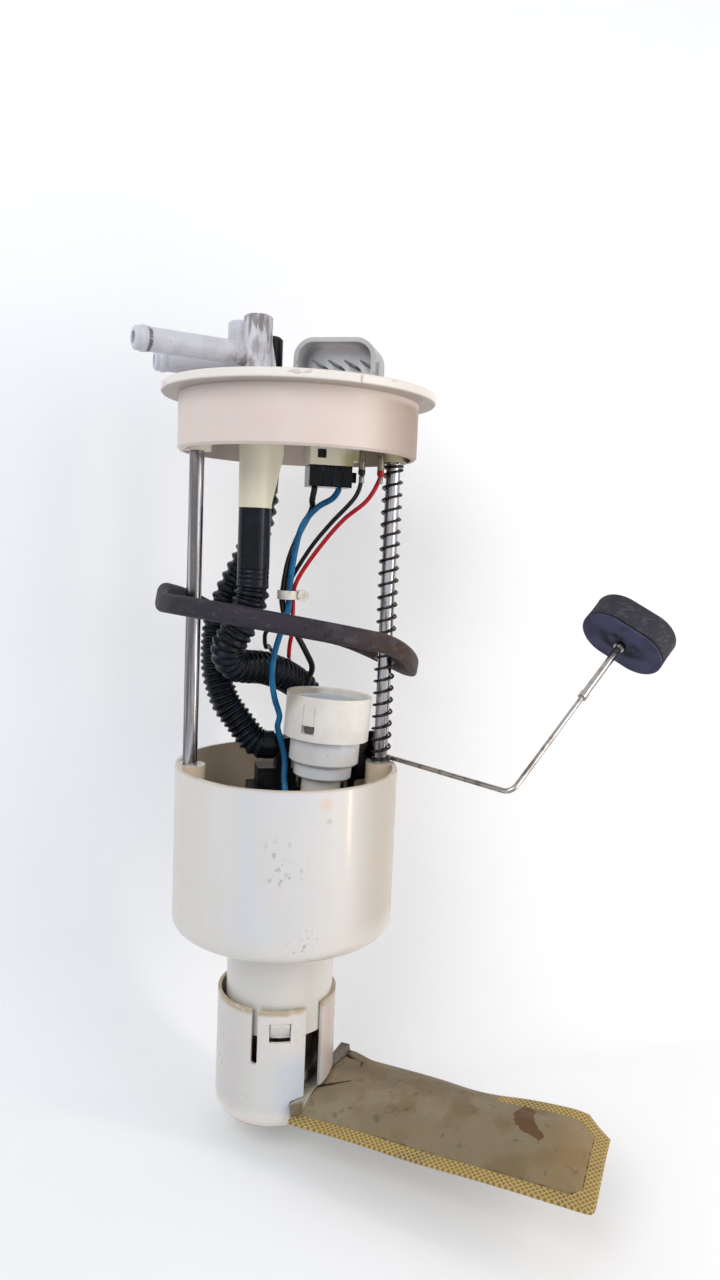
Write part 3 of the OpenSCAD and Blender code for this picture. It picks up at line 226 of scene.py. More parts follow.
@dataclass(frozen=True)
class Finish:
    """A surface made of one material in one way. Every other finish starts from this."""

    name: str
    colour: str
    roughness: float
    slot: str
    clouds: tuple[Cloud, ...] = ()
    grains: tuple[Grain, ...] = ()
    rough_spread: float = 0.06
    rough_size_mm: float = 8.0
    metallic: float = 0.0
    ior: float = 1.5
    coat: float = 0.0
    coat_roughness: float = 0.1
    gloss: float = 0.5
    see_in: float = 0.0
    see_in_mm: float = 2.0

    def paint(self, tree: bpy.types.NodeTree, place: bpy.types.NodeSocket) -> Any:
        """Lays the patches over the base colour.

        Args:
            tree: the material's nodes.
            place: the point on the surface, in metres.

        Returns:
            The colour, as a socket, or as a value where there are no patches.
        """
        colour: Any = linear(self.colour)
        for cloud in self.clouds:
            colour = add_node(tree, "ShaderNodeMix",
                              {0: cloud.mask(tree, place), 6: colour, 7: linear(cloud.colour)},
                              data_type="RGBA").outputs[2]
        return colour

    def relief(self, tree: bpy.types.NodeTree, place: bpy.types.NodeSocket) -> Any:
        """Adds up the fine relief, in metres.

        Args:
            tree: the material's nodes.
            place: the point on the surface, in metres.

        Returns:
            The height, as a socket, or 0 where the surface has no relief.
        """
        height: Any = 0.0
        for grain in self.grains:
            spread = add_node(tree, "ShaderNodeVectorMath", {0: place, 1: grain.stretch},
                              operation="MULTIPLY").outputs["Vector"]
            rough = add_node(tree, "ShaderNodeTexNoise",
                             {"Vector": spread, "Scale": per_metre(grain.size_mm),
                              "Detail": grain.detail}).outputs[0]
            height = add_node(tree, "ShaderNodeMath",
                              {0: rough, 1: grain.depth_mm * MM, 2: height},
                              operation="MULTIPLY_ADD").outputs[0]
        return height

    def build(self) -> bpy.types.Material:
        """Makes the Blender material.

        Returns:
            The material, named for the finish.
        """
        material = bpy.data.materials.new(self.name)
        tree = empty_tree(material)
        place = add_node(tree, "ShaderNodeTexCoord").outputs["Object"]
        blotch = add_node(tree, "ShaderNodeTexNoise",
                          {"Vector": place, "Scale": per_metre(self.rough_size_mm),
                           "Detail": BLOTCH_DETAIL}).outputs[0]
        rough = add_node(tree, "ShaderNodeMapRange",
                         {"Value": blotch, "From Min": BLOTCH_EDGES[0], "From Max": BLOTCH_EDGES[1],
                          "To Min": max(SMOOTHEST, self.roughness - self.rough_spread),
                          "To Max": min(1.0, self.roughness + self.rough_spread)}).outputs[0]
        inputs = {"Base Color": self.paint(tree, place), "Roughness": rough,
                  "Metallic": self.metallic, "Specular IOR Level": self.gloss,
                  "Coat Weight": self.coat, "Coat Roughness": self.coat_roughness,
                  "Subsurface Weight": self.see_in, "Subsurface Scale": self.see_in_mm * MM}
        if not self.metallic:
            inputs["IOR"] = self.ior
        height = self.relief(tree, place)
        if isinstance(height, bpy.types.NodeSocket):
            inputs["Normal"] = add_node(tree, "ShaderNodeBump",
                                        {"Height": height, "Distance": 1.0}).outputs[0]
        shader = add_node(tree, "ShaderNodeBsdfPrincipled", inputs)
        add_node(tree, "ShaderNodeOutputMaterial", {"Surface": shader.outputs[0]})
        return material


# Where the welding tool has pressed the bag's border, with an edge that fades over a narrow band.
WELD = Zone(Reach.MARK, 0.35, 0.65, mark="weld")


@dataclass(frozen=True)
class WovenMesh(Finish):
    """Cloth of crossed single threads, drawn from the piece's own flat pattern."""

    thread_mm: float = 1.1
    thread_depth_mm: float = 0.05
    diamond_mm: float = 2.4
    diamond_depth_mm: float = 0.16
    line: str = "#CBB985"
    line_edges: tuple[float, float] = (0.35, 0.9)
    hollow: str = "#6E5426"
    hollow_below: float = 0.62
    stamp_strength: float = 0.7

    def waves(self, tree: bpy.types.NodeTree, size_mm: float, ways: Sequence[Point]) -> list[Any]:
        """Makes a cosine wave over the flat pattern in each of a few directions.

        Args:
            tree: the material's nodes.
            size_mm: the distance from crest to crest along each direction's axis.
            ways: the directions.

        Returns:
            A socket from -1 to 1 for each direction.
        """
        flat = add_node(tree, "ShaderNodeUVMap", uv_map="pattern").outputs[0]
        waves = []
        for way in ways:
            along = add_node(tree, "ShaderNodeVectorMath", {0: flat, 1: way},
                             operation="DOT_PRODUCT").outputs["Value"]
            turn = add_node(tree, "ShaderNodeMath", {0: along, 1: 2 * math.pi * per_metre(size_mm)},
                            operation="MULTIPLY").outputs[0]
            waves.append(add_node(tree, "ShaderNodeMath", {0: turn}, operation="COSINE").outputs[0])
        return waves

    def lattice(self, tree: bpy.types.NodeTree) -> bpy.types.NodeSocket:
        """Makes the raised lines that the welding tool stamps, crossing in diamonds.

        Args:
            tree: the material's nodes.

        Returns:
            A value from 0 in the hollows to 1 on the lines, all over the cloth.
        """
        first, second = self.waves(tree, self.diamond_mm, ((1.0, 1.0, 0.0), (1.0, -1.0, 0.0)))
        upper = add_node(tree, "ShaderNodeMath", {0: first, 1: second}, operation="MAXIMUM").outputs[0]
        return add_node(tree, "ShaderNodeMapRange",
                        {"Value": upper, "From Min": self.line_edges[0], "From Max": self.line_edges[1]},
                        interpolation_type="SMOOTHSTEP").outputs["Result"]

    def paint(self, tree: bpy.types.NodeTree, place: bpy.types.NodeSocket) -> Any:
        """Lays the stamped lines and hollows over the stained cloth, along the weld only.

        Args:
            tree: the material's nodes.
            place: the point on the surface, in metres.

        Returns:
            The colour.
        """
        colour = super().paint(tree, place)
        weld = WELD.mask(tree, place)
        lines = self.lattice(tree)
        hollows = add_node(tree, "ShaderNodeMath", {0: self.hollow_below, 1: lines},
                           operation="SUBTRACT", use_clamp=True).outputs[0]
        for share, code in ((hollows, self.hollow), (lines, self.line)):
            here = add_node(tree, "ShaderNodeMath", {0: share, 1: weld}, operation="MULTIPLY").outputs[0]
            soft = add_node(tree, "ShaderNodeMath", {0: here, 1: self.stamp_strength},
                            operation="MULTIPLY").outputs[0]
            colour = add_node(tree, "ShaderNodeMix", {0: soft, 6: colour, 7: linear(code)},
                              data_type="RGBA").outputs[2]
        return colour

    def relief(self, tree: bpy.types.NodeTree, place: bpy.types.NodeSocket) -> Any:
        """Adds the threads, and the stamped lines along the weld, to the plain relief.

        Args:
            tree: the material's nodes.
            place: the point on the surface, in metres.

        Returns:
            The height.
        """
        height: Any = super().relief(tree, place)
        for wave in self.waves(tree, self.thread_mm, ((1.0, 0.0, 0.0), (0.0, 1.0, 0.0))):
            height = add_node(tree, "ShaderNodeMath",
                              {0: wave, 1: self.thread_depth_mm * MM / 2, 2: height},
                              operation="MULTIPLY_ADD").outputs[0]
        stamped = add_node(tree, "ShaderNodeMath", {0: self.lattice(tree), 1: WELD.mask(tree, place)},
                           operation="MULTIPLY").outputs[0]
        return add_node(tree, "ShaderNodeMath", {0: stamped, 1: self.diamond_depth_mm * MM, 2: height},
                        operation="MULTIPLY_ADD").outputs[0]


# Acetal, injection moulded: opaque white with a dull wax gloss. Fuel has turned the skirt pink
# and the pieces under the plate yellow.
FLANGE_ACETAL = Finish(
    "acetal_moulded_cream", "#DACDC6", 0.42, "cream_plastic", ior=1.48, see_in=0.12, see_in_mm=1.5,
    clouds=(
        Cloud("#D6C6BC", 0.6, 22, (0.42, 0.66), zones=(Zone(Reach.UP, -1, -6),)),
        # Painted shade: a dark warm tan over the right end of the skirt.
        Cloud("#8A725C", 0.95, zones=(Zone(Reach.ACROSS, 14, 54), Zone(Reach.UP, -1, -4))),
        Cloud("#E9E5DF", 0.95, zones=(Zone(Reach.UP, -0.6, 0.6),)),
        # Painted shade: a thin dark line where the rim steps down to the skirt.
        Cloud("#8A7C70", 0.7, zones=(Zone(Reach.UP, -0.9, 0.1), Zone(Reach.UP, 0.7, 0.1))),
        Cloud("#8C8172", 0.35, 7, (0.62, 0.7), (1, 1, 4), zones=(Zone(Reach.UP, 0.2, 1.2),)),
        Cloud("#E4E0CC", 1.0, zones=(Zone(Reach.RADIUS, 48, 46), Zone(Reach.UP, -3, -6))),
        Cloud("#E4E0CC", 1.0, zones=(Zone(Reach.UP, -24.1, -24.6),)),
        Cloud("#C6BA86", 0.9, zones=(Zone(Reach.UP, -18, -24.3), Zone(Reach.ACROSS, 17, 22),
                                     Zone(Reach.RADIUS, 48, 46))),
        # Painted shade: a near black spot where the terminal window opens.
        Cloud("#1B1614", 1.0, zones=(Zone(Reach.POINT, 3.1, 2.9, (10.4, 0.2, -22)),)),
    ),
    grains=(Grain(1.2, 0.012), Grain(9, 0.05)))

# The upright axis of the feed boss, which its pipe's hose bead is measured from.
FEED_BOSS = (-18.8, 3.0, 0.0)

# Glass filled nylon, moulded: pale grey with a lilac cast and a soft sheen, holding brown grime
# in the corner between the boss and the pipe, and painted shade in the groove behind the hose bead.
PORT_NYLON = Finish(
    "nylon_glass_filled_grey", "#CDCED7", 0.45, "grey_plastic", ior=1.53,
    clouds=(
        Cloud("#BEBDC6", 0.7, 9, (0.45, 0.65)),
        # Painted shade: a dark ring, broken up by noise, in the groove behind the hose bead.
        Cloud("#3B3739", 0.85, 2.2, (0.34, 0.5),
              zones=(Zone(Reach.RADIUS, 47.9, 48.6, FEED_BOSS), Zone(Reach.RADIUS, 50.4, 49.6, FEED_BOSS))),
        Cloud("#6B5F58", 0.75, 3.5, (0.42, 0.58), (1, 1, 0.3),
              zones=(Zone(Reach.POINT, 18, 6, (-22, 2, 10)),)),
        Cloud("#5C5350", 0.8, 2.5, (0.46, 0.62), (1, 1, 0.25),
              zones=(Zone(Reach.POINT, 19, 7, (-14, 0, 33)),)),
        Cloud("#77706E", 0.5, 1.8, (0.66, 0.74)),
    ),
    grains=(Grain(0.8, 0.015), Grain(5, 0.04)))

# Polyester, moulded: flat light grey, wiped but not clean, and painted near white inside the shroud
# to offset the shade in its recess.
CONNECTOR_POLYESTER = Finish(
    "polyester_moulded_grey", "#A6A9AC", 0.4, "grey_plastic", ior=1.57, see_in=0.3, see_in_mm=4,
    clouds=(
        Cloud("#A6A8AB", 0.7, 7, (0.42, 0.62)),
        Cloud("#5E5F62", 0.6, 2.2, (0.63, 0.72)),
        Cloud("#B4B7BA", 0.6, zones=(Zone(Reach.UP, 26, 29),)),
        # Painted light: near white inside the shroud, offsetting the shade of the recess.
        Cloud("#F3F5F8", 0.96, zones=(Zone(Reach.POINT, 18, 12, (20.9, 14.1, 16.8)),)),
    ),
    grains=(Grain(0.9, 0.015),))

# Acetal, moulded and left natural: milky with a wax polish, light passing a little way in, with a painted
# bluish reflection of the room, painted shade in tan towards its right edge, and a brown fuel stain inside
# that is painted lighter to offset the shade there.
RESERVOIR_ACETAL = Finish(
    "acetal_moulded_milky", "#DCDBD8", 0.34, "milky_plastic", ior=1.48, see_in=0.22, see_in_mm=2.5,
    coat=0.5, coat_roughness=0.12, gloss=0.4, clouds=(
        # Painted reflection: a bluish band of the room's light left of centre.
        Cloud("#D3D6DC", 0.8, zones=(Zone(Reach.ACROSS, -33, -20), Zone(Reach.ACROSS, 16, -4))),
        Cloud("#D4CEC4", 0.8, zones=(Zone(Reach.ACROSS, -34, -49),)),
        Cloud("#D8D4CD", 0.5, 16, (0.42, 0.66), (1, 1, 0.15)),
        # Painted shade: tan towards the right edge.
        Cloud("#B3A694", 0.92, zones=(Zone(Reach.ACROSS, 12, 46),)),
        Cloud("#D8D5CE", 0.85, zones=(Zone(Reach.UP, -220, -236),)),
        # A tan fuel stain on the inner wall, painted lighter to offset the shade inside the reservoir.
        Cloud("#D8C9B2", 0.95, zones=(Zone(Reach.RADIUS, 49.6, 49.0), Zone(Reach.UP, -233.5, -232.5))),
        Cloud("#CBC2B3", 0.8, zones=(Zone(Reach.UP, -163.4, -162.4),)),
        Cloud("#8B8A90", 0.6, 2.6, (0.54, 0.68), (1, 1, 0.7),
              zones=(Zone(Reach.POINT, 13, 6, (-9, -50, -193)),)),
        Cloud("#8B8A90", 0.6, 2.2, (0.56, 0.68), zones=(Zone(Reach.POINT, 10, 3, (2, -51, -228)),)),
        Cloud("#E3C3A0", 0.45, zones=(Zone(Reach.POINT, 4.4, 0.6, (9, -50.2, -168)),)),
        Cloud("#B7A692", 0.45, zones=(Zone(Reach.POINT, 2.0, 0.4, (10.6, -49.9, -175.3)),)),
        Cloud("#3B3A3C", 0.9, 1.6, (0.785, 0.8)),
    ),
    grains=(Grain(14, 0.16, (1, 1, 0.25)), Grain(1.4, 0.01)))

# The same acetal on the lower cup, with golden brown grime baked on to its upper edge.
LOWER_CUP_ACETAL = Finish(
    "acetal_moulded_cup", "#D9D7D4", 0.32, "milky_plastic", ior=1.48, see_in=0.3, see_in_mm=3,
    coat=0.3, coat_roughness=0.15, gloss=0.4, clouds=(
        Cloud("#CFCBC8", 0.8, zones=(Zone(Reach.ACROSS, -12, -24),)),
        # Painted shade: a bluish tint over the lower right of the cup.
        Cloud("#C7D0DA", 0.9, zones=(Zone(Reach.ACROSS, -12, 2), Zone(Reach.UP, -284, -296),
                                     Zone(Reach.UP, -322, -312))),
        Cloud("#BDAA9E", 0.8, zones=(Zone(Reach.ACROSS, 12, 22),)),
        Cloud("#E8E4DC", 0.85, zones=(Zone(Reach.UP, -313, -321),)),
        Cloud("#AE9C74", 0.8, 6, (0.3, 0.55), zones=(Zone(Reach.UP, -271.2, -269.2),)),
        Cloud("#A39A84", 0.8, zones=(Zone(Reach.RADIUS, 26.3, 26.0, (-1.1, 0, 0)),)),
    ),
    grains=(Grain(10, 0.1), Grain(1.2, 0.01)))

# Acetal again for the return cup's collar, cleaner and whiter than the rest.
COLLAR_ACETAL = Finish(
    "acetal_moulded_white", "#EDEBE5", 0.35, "white_plastic", ior=1.48, see_in=0.15, see_in_mm=1.5,
    gloss=0.4, clouds=(
        Cloud("#E4E1DA", 0.8, 11, (0.46, 0.68)),
        Cloud("#ADA68F", 0.75, zones=(Zone(Reach.RADIUS, 18.2, 17.6, (17, 3.5, 0)),
                                      Zone(Reach.UP, -150, -131))),
        Cloud("#8C8473", 0.4, 1.8, (0.7, 0.76)),
    ),
    grains=(Grain(1.2, 0.012),))

# Polypropylene, moulded thin: clear enough to look blue where it is thick with air behind.
FUNNEL_POLYPROPYLENE = Finish(
    "polypropylene_moulded_clear", "#DCE2EA", 0.28, "milky_plastic", ior=1.49, see_in=0.35, see_in_mm=3,
    gloss=0.4, clouds=(
        Cloud("#E4E4E2", 0.8, 12, (0.4, 0.6)),
        Cloud("#D8CFC2", 0.8, zones=(Zone(Reach.UP, -168, -176),)),
        Cloud("#7F8286", 0.7, 1.5, (0.7, 0.75), zones=(Zone(Reach.UP, -168, -160),)),
        # Painted shade: a dark brown patch behind the latch window, so that the window reads dark.
        Cloud("#4A3A33", 0.9, zones=(Zone(Reach.POINT, 3.4, 2.6, (7.0, -11.4, -144.8)),)),
    ),
    grains=(Grain(1.6, 0.012),))

# Nylon, injection moulded, black: a deep black that greys a little where it has rubbed.
BLACK_NYLON = Finish(
    "nylon_moulded_black", "#101012", 0.36, "black_plastic", ior=1.53, gloss=0.1,
    clouds=(Cloud("#222226", 0.8, 6, (0.5, 0.7)), Cloud("#343333", 0.5, 1.2, (0.66, 0.74))),
    grains=(Grain(0.9, 0.02), Grain(5, 0.04)))

# The same nylon on the plug under the plate, polished by its mould, with a painted blue reflection in
# streaks.
PLUG_NYLON = Finish(
    "nylon_polished_black", "#07080A", 0.16, "black_plastic", ior=1.53, coat=0.08, coat_roughness=0.05,
    # Painted reflection: stretched blue patches stand in for the glints on the polished black.
    gloss=0.12, clouds=(Cloud("#1C2640", 0.8, 3, (0.56, 0.68), (2, 1, 0.5)),),
    grains=(Grain(2.2, 0.05, (2, 1, 0.4)),))

# Nylon tie, natural: translucent ivory.
TIE_NYLON = Finish(
    "nylon_tie_natural", "#DAD8CF", 0.35, "white_plastic", ior=1.53, see_in=0.3, see_in_mm=1.5,
    clouds=(Cloud("#BDB7A6", 0.7, 2.5, (0.45, 0.65)),), grains=(Grain(0.8, 0.01),))

# Nylon tube, extruded and corrugated on a mould chain: blue-black with a hard gloss on each crest.
HOSE_NYLON = Finish(
    "nylon_corrugated_black", "#0E1118", 0.24, "hose_nylon", ior=1.53, coat=0.06, coat_roughness=0.12,
    gloss=0.12, clouds=(Cloud("#1A2334", 0.6, 10, (0.45, 0.65)), Cloud("#2A2B31", 0.5, 1.6, (0.64, 0.74))),
    grains=(Grain(1.1, 0.02), Grain(4, 0.04)))

# Nitrile rubber, compression moulded: charcoal, bloomed and scuffed, browner where it has dried.
SEAL_NITRILE = Finish(
    "nitrile_moulded_seal", "#312E35", 0.55, "seal_rubber", ior=1.52, gloss=0.15,
    clouds=(
        Cloud("#3D2F29", 0.9, zones=(Zone(Reach.ACROSS, 2, 40),)),
        Cloud("#48454D", 0.6, 9, (0.5, 0.68), (1, 1, 2.2)),
        Cloud("#655F66", 0.45, 3.2, (0.6, 0.72), (0.4, 1, 1), zones=(Zone(Reach.ACROSS, 8, -22),)),
        Cloud("#5C4A41", 0.5, 4, (0.56, 0.7), (0.5, 1, 2), zones=(Zone(Reach.ACROSS, 10, 40),)),
        Cloud("#201E23", 0.7, 2.4, (0.6, 0.7)),
        Cloud("#1C1A1E", 0.6, zones=(Zone(Reach.ACROSS, -40, -58),)),
    ),
    grains=(Grain(0.7, 0.03), Grain(6, 0.12, (0.4, 1, 2))))

# Nitrile foam block, cut and skinned: indigo black and matt, with the cells open at the sides.
FLOAT_NITRILE = Finish(
    "nitrile_foam_skinned", "#3C3D54", 0.72, "float_foam", ior=1.45, rough_spread=0.1, gloss=0.2,
    clouds=(
        Cloud("#484A63", 0.8, 9, (0.42, 0.6)),
        Cloud("#1E1D26", 0.95, 7, (0.36, 0.58), zones=(Zone(Reach.MARK, 0.3, 1.0, mark="smudge"),)),
        Cloud("#34343A", 0.95, zones=(Zone(Reach.MARK, 0.3, 0.9, mark="side"),)),
        Cloud("#505056", 0.6, 3.0, (0.5, 0.66), (1, 0.5, 2),
              zones=(Zone(Reach.MARK, 0.3, 0.9, mark="side"),)),
        # Painted shade: near black in the crease round the side.
        Cloud("#08080A", 1.0, zones=(Zone(Reach.MARK, 0.2, 0.7, mark="crease"),)),
    ),
    grains=(Grain(0.6, 0.05), Grain(3, 0.08)))

# Steel rod, drawn and plated bright: a mirror along its length, with dark streaks along the draw lines
# painted on as the dark reflections that the mirror would show.
ROD_STEEL = Finish(
    "steel_drawn_bright", "#B4B3B8", 0.2, "bright_steel", metallic=1.0, rough_spread=0.07, rough_size_mm=4,
    # Painted reflections: the dark streaks along the rod stand in for the dark room it would mirror.
    clouds=(Cloud("#3E393B", 0.75, 2.6, (0.47, 0.58), (1, 1, 0.02)),
            Cloud("#857B77", 0.6, 5, (0.5, 0.66), (3, 3, 0.25)),
            Cloud("#4F4641", 0.6, 1.2, (0.66, 0.73))),
    grains=(Grain(0.7, 0.006, (3, 3, 0.1)),))

# Stainless wire, drawn: bright, a little rougher than the rods.
ARM_STEEL = Finish(
    "stainless_wire_drawn", "#A9A5A2", 0.22, "bright_steel", metallic=1.0, rough_size_mm=3,
    clouds=(Cloud("#6F6763", 0.7, 6, (0.5, 0.64)),), grains=(Grain(0.8, 0.01),))

# Spring wire, oil tempered: dark brown-black with a metal shine along the top of each coil.
SPRING_STEEL = Finish(
    "spring_wire_tempered", "#3A3533", 0.3, "spring_steel", metallic=1.0, rough_size_mm=3,
    clouds=(Cloud("#1F1C1B", 0.8, 4, (0.45, 0.62)), Cloud("#8D8580", 0.5, 2, (0.64, 0.74))),
    grains=(Grain(0.6, 0.01),))

# Sheet steel can, drawn and plated: satin silver with tide marks.
CAN_STEEL = Finish(
    "steel_can_plated", "#A9A8A8", 0.32, "bright_steel", metallic=1.0,
    clouds=(Cloud("#7D776F", 0.6, 12, (0.45, 0.65)),), grains=(Grain(0.9, 0.01, (1, 1, 4)),))

# Tinned brass, stamped: grey-gold and dull.
TERMINAL_BRASS = Finish(
    "brass_tinned_stamped", "#8E887C", 0.38, "tinned_brass", metallic=1.0,
    clouds=(Cloud("#5F584C", 0.7, 2.5, (0.45, 0.6)),), grains=(Grain(0.6, 0.01),))

# The same brass in the tank connector, tarnished: dark grey with hardly any shine left.
BLADE_BRASS = Finish(
    "brass_tinned_tarnished", "#5A5C60", 0.5, "tinned_brass", metallic=1.0,
    clouds=(Cloud("#3A3B3E", 0.7, 2.5, (0.45, 0.6)),), grains=(Grain(0.6, 0.01),))

# Ferrite, pressed and sintered: dark grey and chalky.
MAGNET_FERRITE = Finish(
    "ferrite_sintered", "#34343A", 0.75, "ferrite", gloss=0.25,
    clouds=(Cloud("#4A4A50", 0.7, 3, (0.5, 0.65)),), grains=(Grain(0.5, 0.02),))

# Enamelled copper on a laminated core: orange brown with a lacquer shine.
WINDING_COPPER = Finish(
    "copper_enamelled_wound", "#9C5E34", 0.35, "winding", metallic=1.0, coat=0.3,
    clouds=(Cloud("#6A3D22", 0.8, 1.5, (0.45, 0.6), (1, 1, 6)),), grains=(Grain(0.7, 0.05, (1, 1, 6)),))

# Phenolic, compression moulded: brown with a faint fleck.
IMPELLER_PHENOLIC = Finish(
    "phenolic_moulded_brown", "#6B4627", 0.45, "brown_plastic", ior=1.6,
    clouds=(Cloud("#8A6138", 0.7, 1.2, (0.55, 0.68)),), grains=(Grain(0.6, 0.01),))

# Alumina card covered with fired resistor ink: near black and matt, with paler bare patches.
CARD_CERAMIC = Finish(
    "alumina_card_inked", "#232224", 0.55, "sender_ceramic", ior=1.76, gloss=0.15,
    clouds=(Cloud("#4A4742", 0.7, 2.0, (0.56, 0.66), (1, 1, 5)),), grains=(Grain(0.4, 0.01),))

# Rubber sleeve round the pump, moulded: plain dark grey.
ISOLATOR_RUBBER = Finish(
    "nitrile_moulded_sleeve", "#242327", 0.6, "seal_rubber", gloss=0.25,
    clouds=(Cloud("#37353B", 0.6, 5, (0.5, 0.68)),), grains=(Grain(0.8, 0.03),))

# Nylon inlet cap, moulded: milky where it is clean, and black with fuel on the side that the bag
# draws from.
INLET_NYLON = Finish(
    "nylon_moulded_natural", "#DAD5CB", 0.35, "black_plastic", ior=1.53, see_in=0.2, see_in_mm=2,
    clouds=(
        Cloud("#B3A896", 0.6, 5, (0.5, 0.68)),
        Cloud("#1D1815", 0.97, zones=(Zone(Reach.ACROSS, 9, 13),)),
    ),
    grains=(Grain(0.8, 0.02),))

# Acetal bar that the bag is welded to: brown with fuel at its far end, clear at the near one.
BAR_ACETAL = Finish(
    "acetal_moulded_bar", "#7C766E", 0.34, "milky_plastic", ior=1.48, see_in=0.15, see_in_mm=2,
    gloss=0.4, clouds=(
        Cloud("#BDBDB2", 0.95, zones=(Zone(Reach.DEEP, -12, -28),)),
        Cloud("#4A4036", 0.9, zones=(Zone(Reach.DEEP, -2, 8),)),
        Cloud("#665E53", 0.6, 4, (0.5, 0.66)),
        Cloud("#75664F", 0.95, zones=(Zone(Reach.DEEP, -27, -29.5),)),
    ),
    grains=(Grain(1.2, 0.02), Grain(6, 0.06)))

# Woven nylon screen, welded along its border: fawn cloth stained by fuel, and a gold stamped edge.
# The real threads are about 0.2 mm apart, so they are drawn five times as coarse to show at all.
BAG_SCREEN = WovenMesh(
    "nylon_screen_woven", "#847860", 0.62, "strainer_fabric", ior=1.53, rough_spread=0.1, gloss=0.2,
    clouds=(
        Cloud("#948972", 0.75, 26, (0.45, 0.62)),
        Cloud("#766448", 0.7, 17, (0.48, 0.64)),
        Cloud("#66584A", 0.8, 30, (0.35, 0.6), zones=(Zone(Reach.MARK, 0.1, 0.9, mark="shade"),)),
        Cloud("#94794F", 0.5, zones=(Zone(Reach.MARK, 0.3, 1.0, mark="far_end"),)),
        Cloud("#5E5142", 0.6, 5, (0.6, 0.72)),
        Cloud("#A58743", 0.97, zones=(WELD,)),
        Cloud("#6E5C48", 0.6, 14, (0.5, 0.62), zones=(WELD,)),
        Cloud("#33261A", 0.9, zones=(Zone(Reach.MARK, 0.2, 0.9, mark="seam"),)),
        Cloud("#60432A", 0.96, zones=(Zone(Reach.MARK, 0.35, 0.6, mark="stain"),)),
        # Painted shade: dark brown along the folds in the cloth.
        Cloud("#2A1D13", 0.92, zones=(Zone(Reach.MARK, 0.2, 0.8, mark="fold"),)),
        Cloud("#4B3D2D", 0.8, zones=(Zone(Reach.MARK, 0.2, 1.0, mark="root"),)),
    ),
    grains=(Grain(7, 0.1),))


def insulation(name: str, colour: str, light: str, slot: str) -> Finish:
    """Gives the finish of a lead: soft vinyl, extruded smooth over the strands, with a wet gloss.

    Args:
        name: what the material is called.
        colour: the vinyl's colour.
        light: the colour of its faded patches.
        slot: the record's material slot.

    Returns:
        The finish.
    """
    return Finish(name, colour, 0.28, slot, ior=1.53, coat=0.05, gloss=0.15,
                  clouds=(Cloud(light, 0.7, 12, (0.45, 0.65)),), grains=(Grain(1.5, 0.02),))


BLUE_VINYL = insulation("vinyl_extruded_blue", "#0F5480", "#1C74A4", "blue_insulation")
RED_VINYL = insulation("vinyl_extruded_red", "#AA1420", "#C02430", "red_insulation")
BLACK_VINYL = insulation("vinyl_extruded_black", "#151416", "#2A2624", "black_insulation")


class Workshop:
    """Makes each finish once and each mesh the same way."""

    def __init__(self) -> None:
        """Starts with no finishes made."""
        self.made: dict[str, bpy.types.Material] = {}

    def material(self, finish: Finish) -> bpy.types.Material:
        """Gives the material of a finish, and makes it the first time."""
        if finish.name not in self.made:
            self.made[finish.name] = finish.build()
        return self.made[finish.name]

    def piece(self, name: str, vertices: np.ndarray, faces: Sequence[Sequence[int]],
              finish: Finish) -> bpy.types.Object:
        """Makes a piece from points in millimetres in the row's frame.

        Args:
            name: the piece's name.
            vertices: the points, one a row.
            faces: the corners of each face.
            finish: what it is made of.

        Returns:
            The object, smooth shaded, with its faces turned outwards.
        """
        mesh = bpy.data.meshes.new(name)
        mesh.from_pydata((np.asarray(vertices) * MM).tolist(), [], [list(f) for f in faces])
        work = bmesh.new()
        work.from_mesh(mesh)
        bmesh.ops.recalc_face_normals(work, faces=work.faces)
        work.to_mesh(mesh)
        work.free()
        mesh.shade_smooth()
        mesh.materials.append(self.material(finish))
        made = bpy.data.objects.new(name, mesh)
        bpy.context.scene.collection.objects.link(made)
        LOG.info("%s: %d points", name, len(mesh.vertices))
        return made

    def dress(self, node: str, finish: Finish) -> bpy.types.Object:
        """Gives a CAD node its finish.

        Args:
            node: the node's name.
            finish: what it is made of.

        Returns:
            The node's object.
        """
        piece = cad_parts[node]
        piece.data.materials.clear()
        piece.data.materials.append(self.material(finish))
        LOG.info("%s: %s", node, finish.name)
        return piece


# Geometry shared by the hoses, the leads, the spring and the ring

# Steps between two points of a route, and how near to X a path may start before Y is its reference.
ROUTE_STEPS = 24
NEARLY_ALONG = 0.8


def distances(path: np.ndarray) -> np.ndarray:
    """Gives how far along a path each of its points is."""
    return np.concatenate([[0], np.cumsum(np.linalg.norm(np.diff(path, axis=0), axis=1))])


def smooth_route(points: Sequence[Point], step_mm: float) -> np.ndarray:
    """Runs a smooth curve through a route's points.

    Args:
        points: the route, in millimetres.
        step_mm: the distance between the points of the result.

    Returns:
        Points along the curve, evenly spaced.
    """
    p = np.array(points, float)
    ends = np.vstack([p[:1], p, p[-1:]])
    fine = []
    for i in range(len(p) - 1):
        a, b, c, d = ends[i:i + 4]
        t = np.linspace(0, 1, ROUTE_STEPS, endpoint=False)[:, None]
        fine.append(0.5 * (2 * b + (c - a) * t + (2 * a - 5 * b + 4 * c - d) * t ** 2
                           + (3 * b - a - 3 * c + d) * t ** 3))
    curve = np.vstack([*fine, p[-1:]])
    run = distances(curve)
    places = np.linspace(0, run[-1], max(2, round(run[-1] / step_mm) + 1))
    return np.column_stack([np.interp(places, run, curve[:, k]) for k in range(3)])


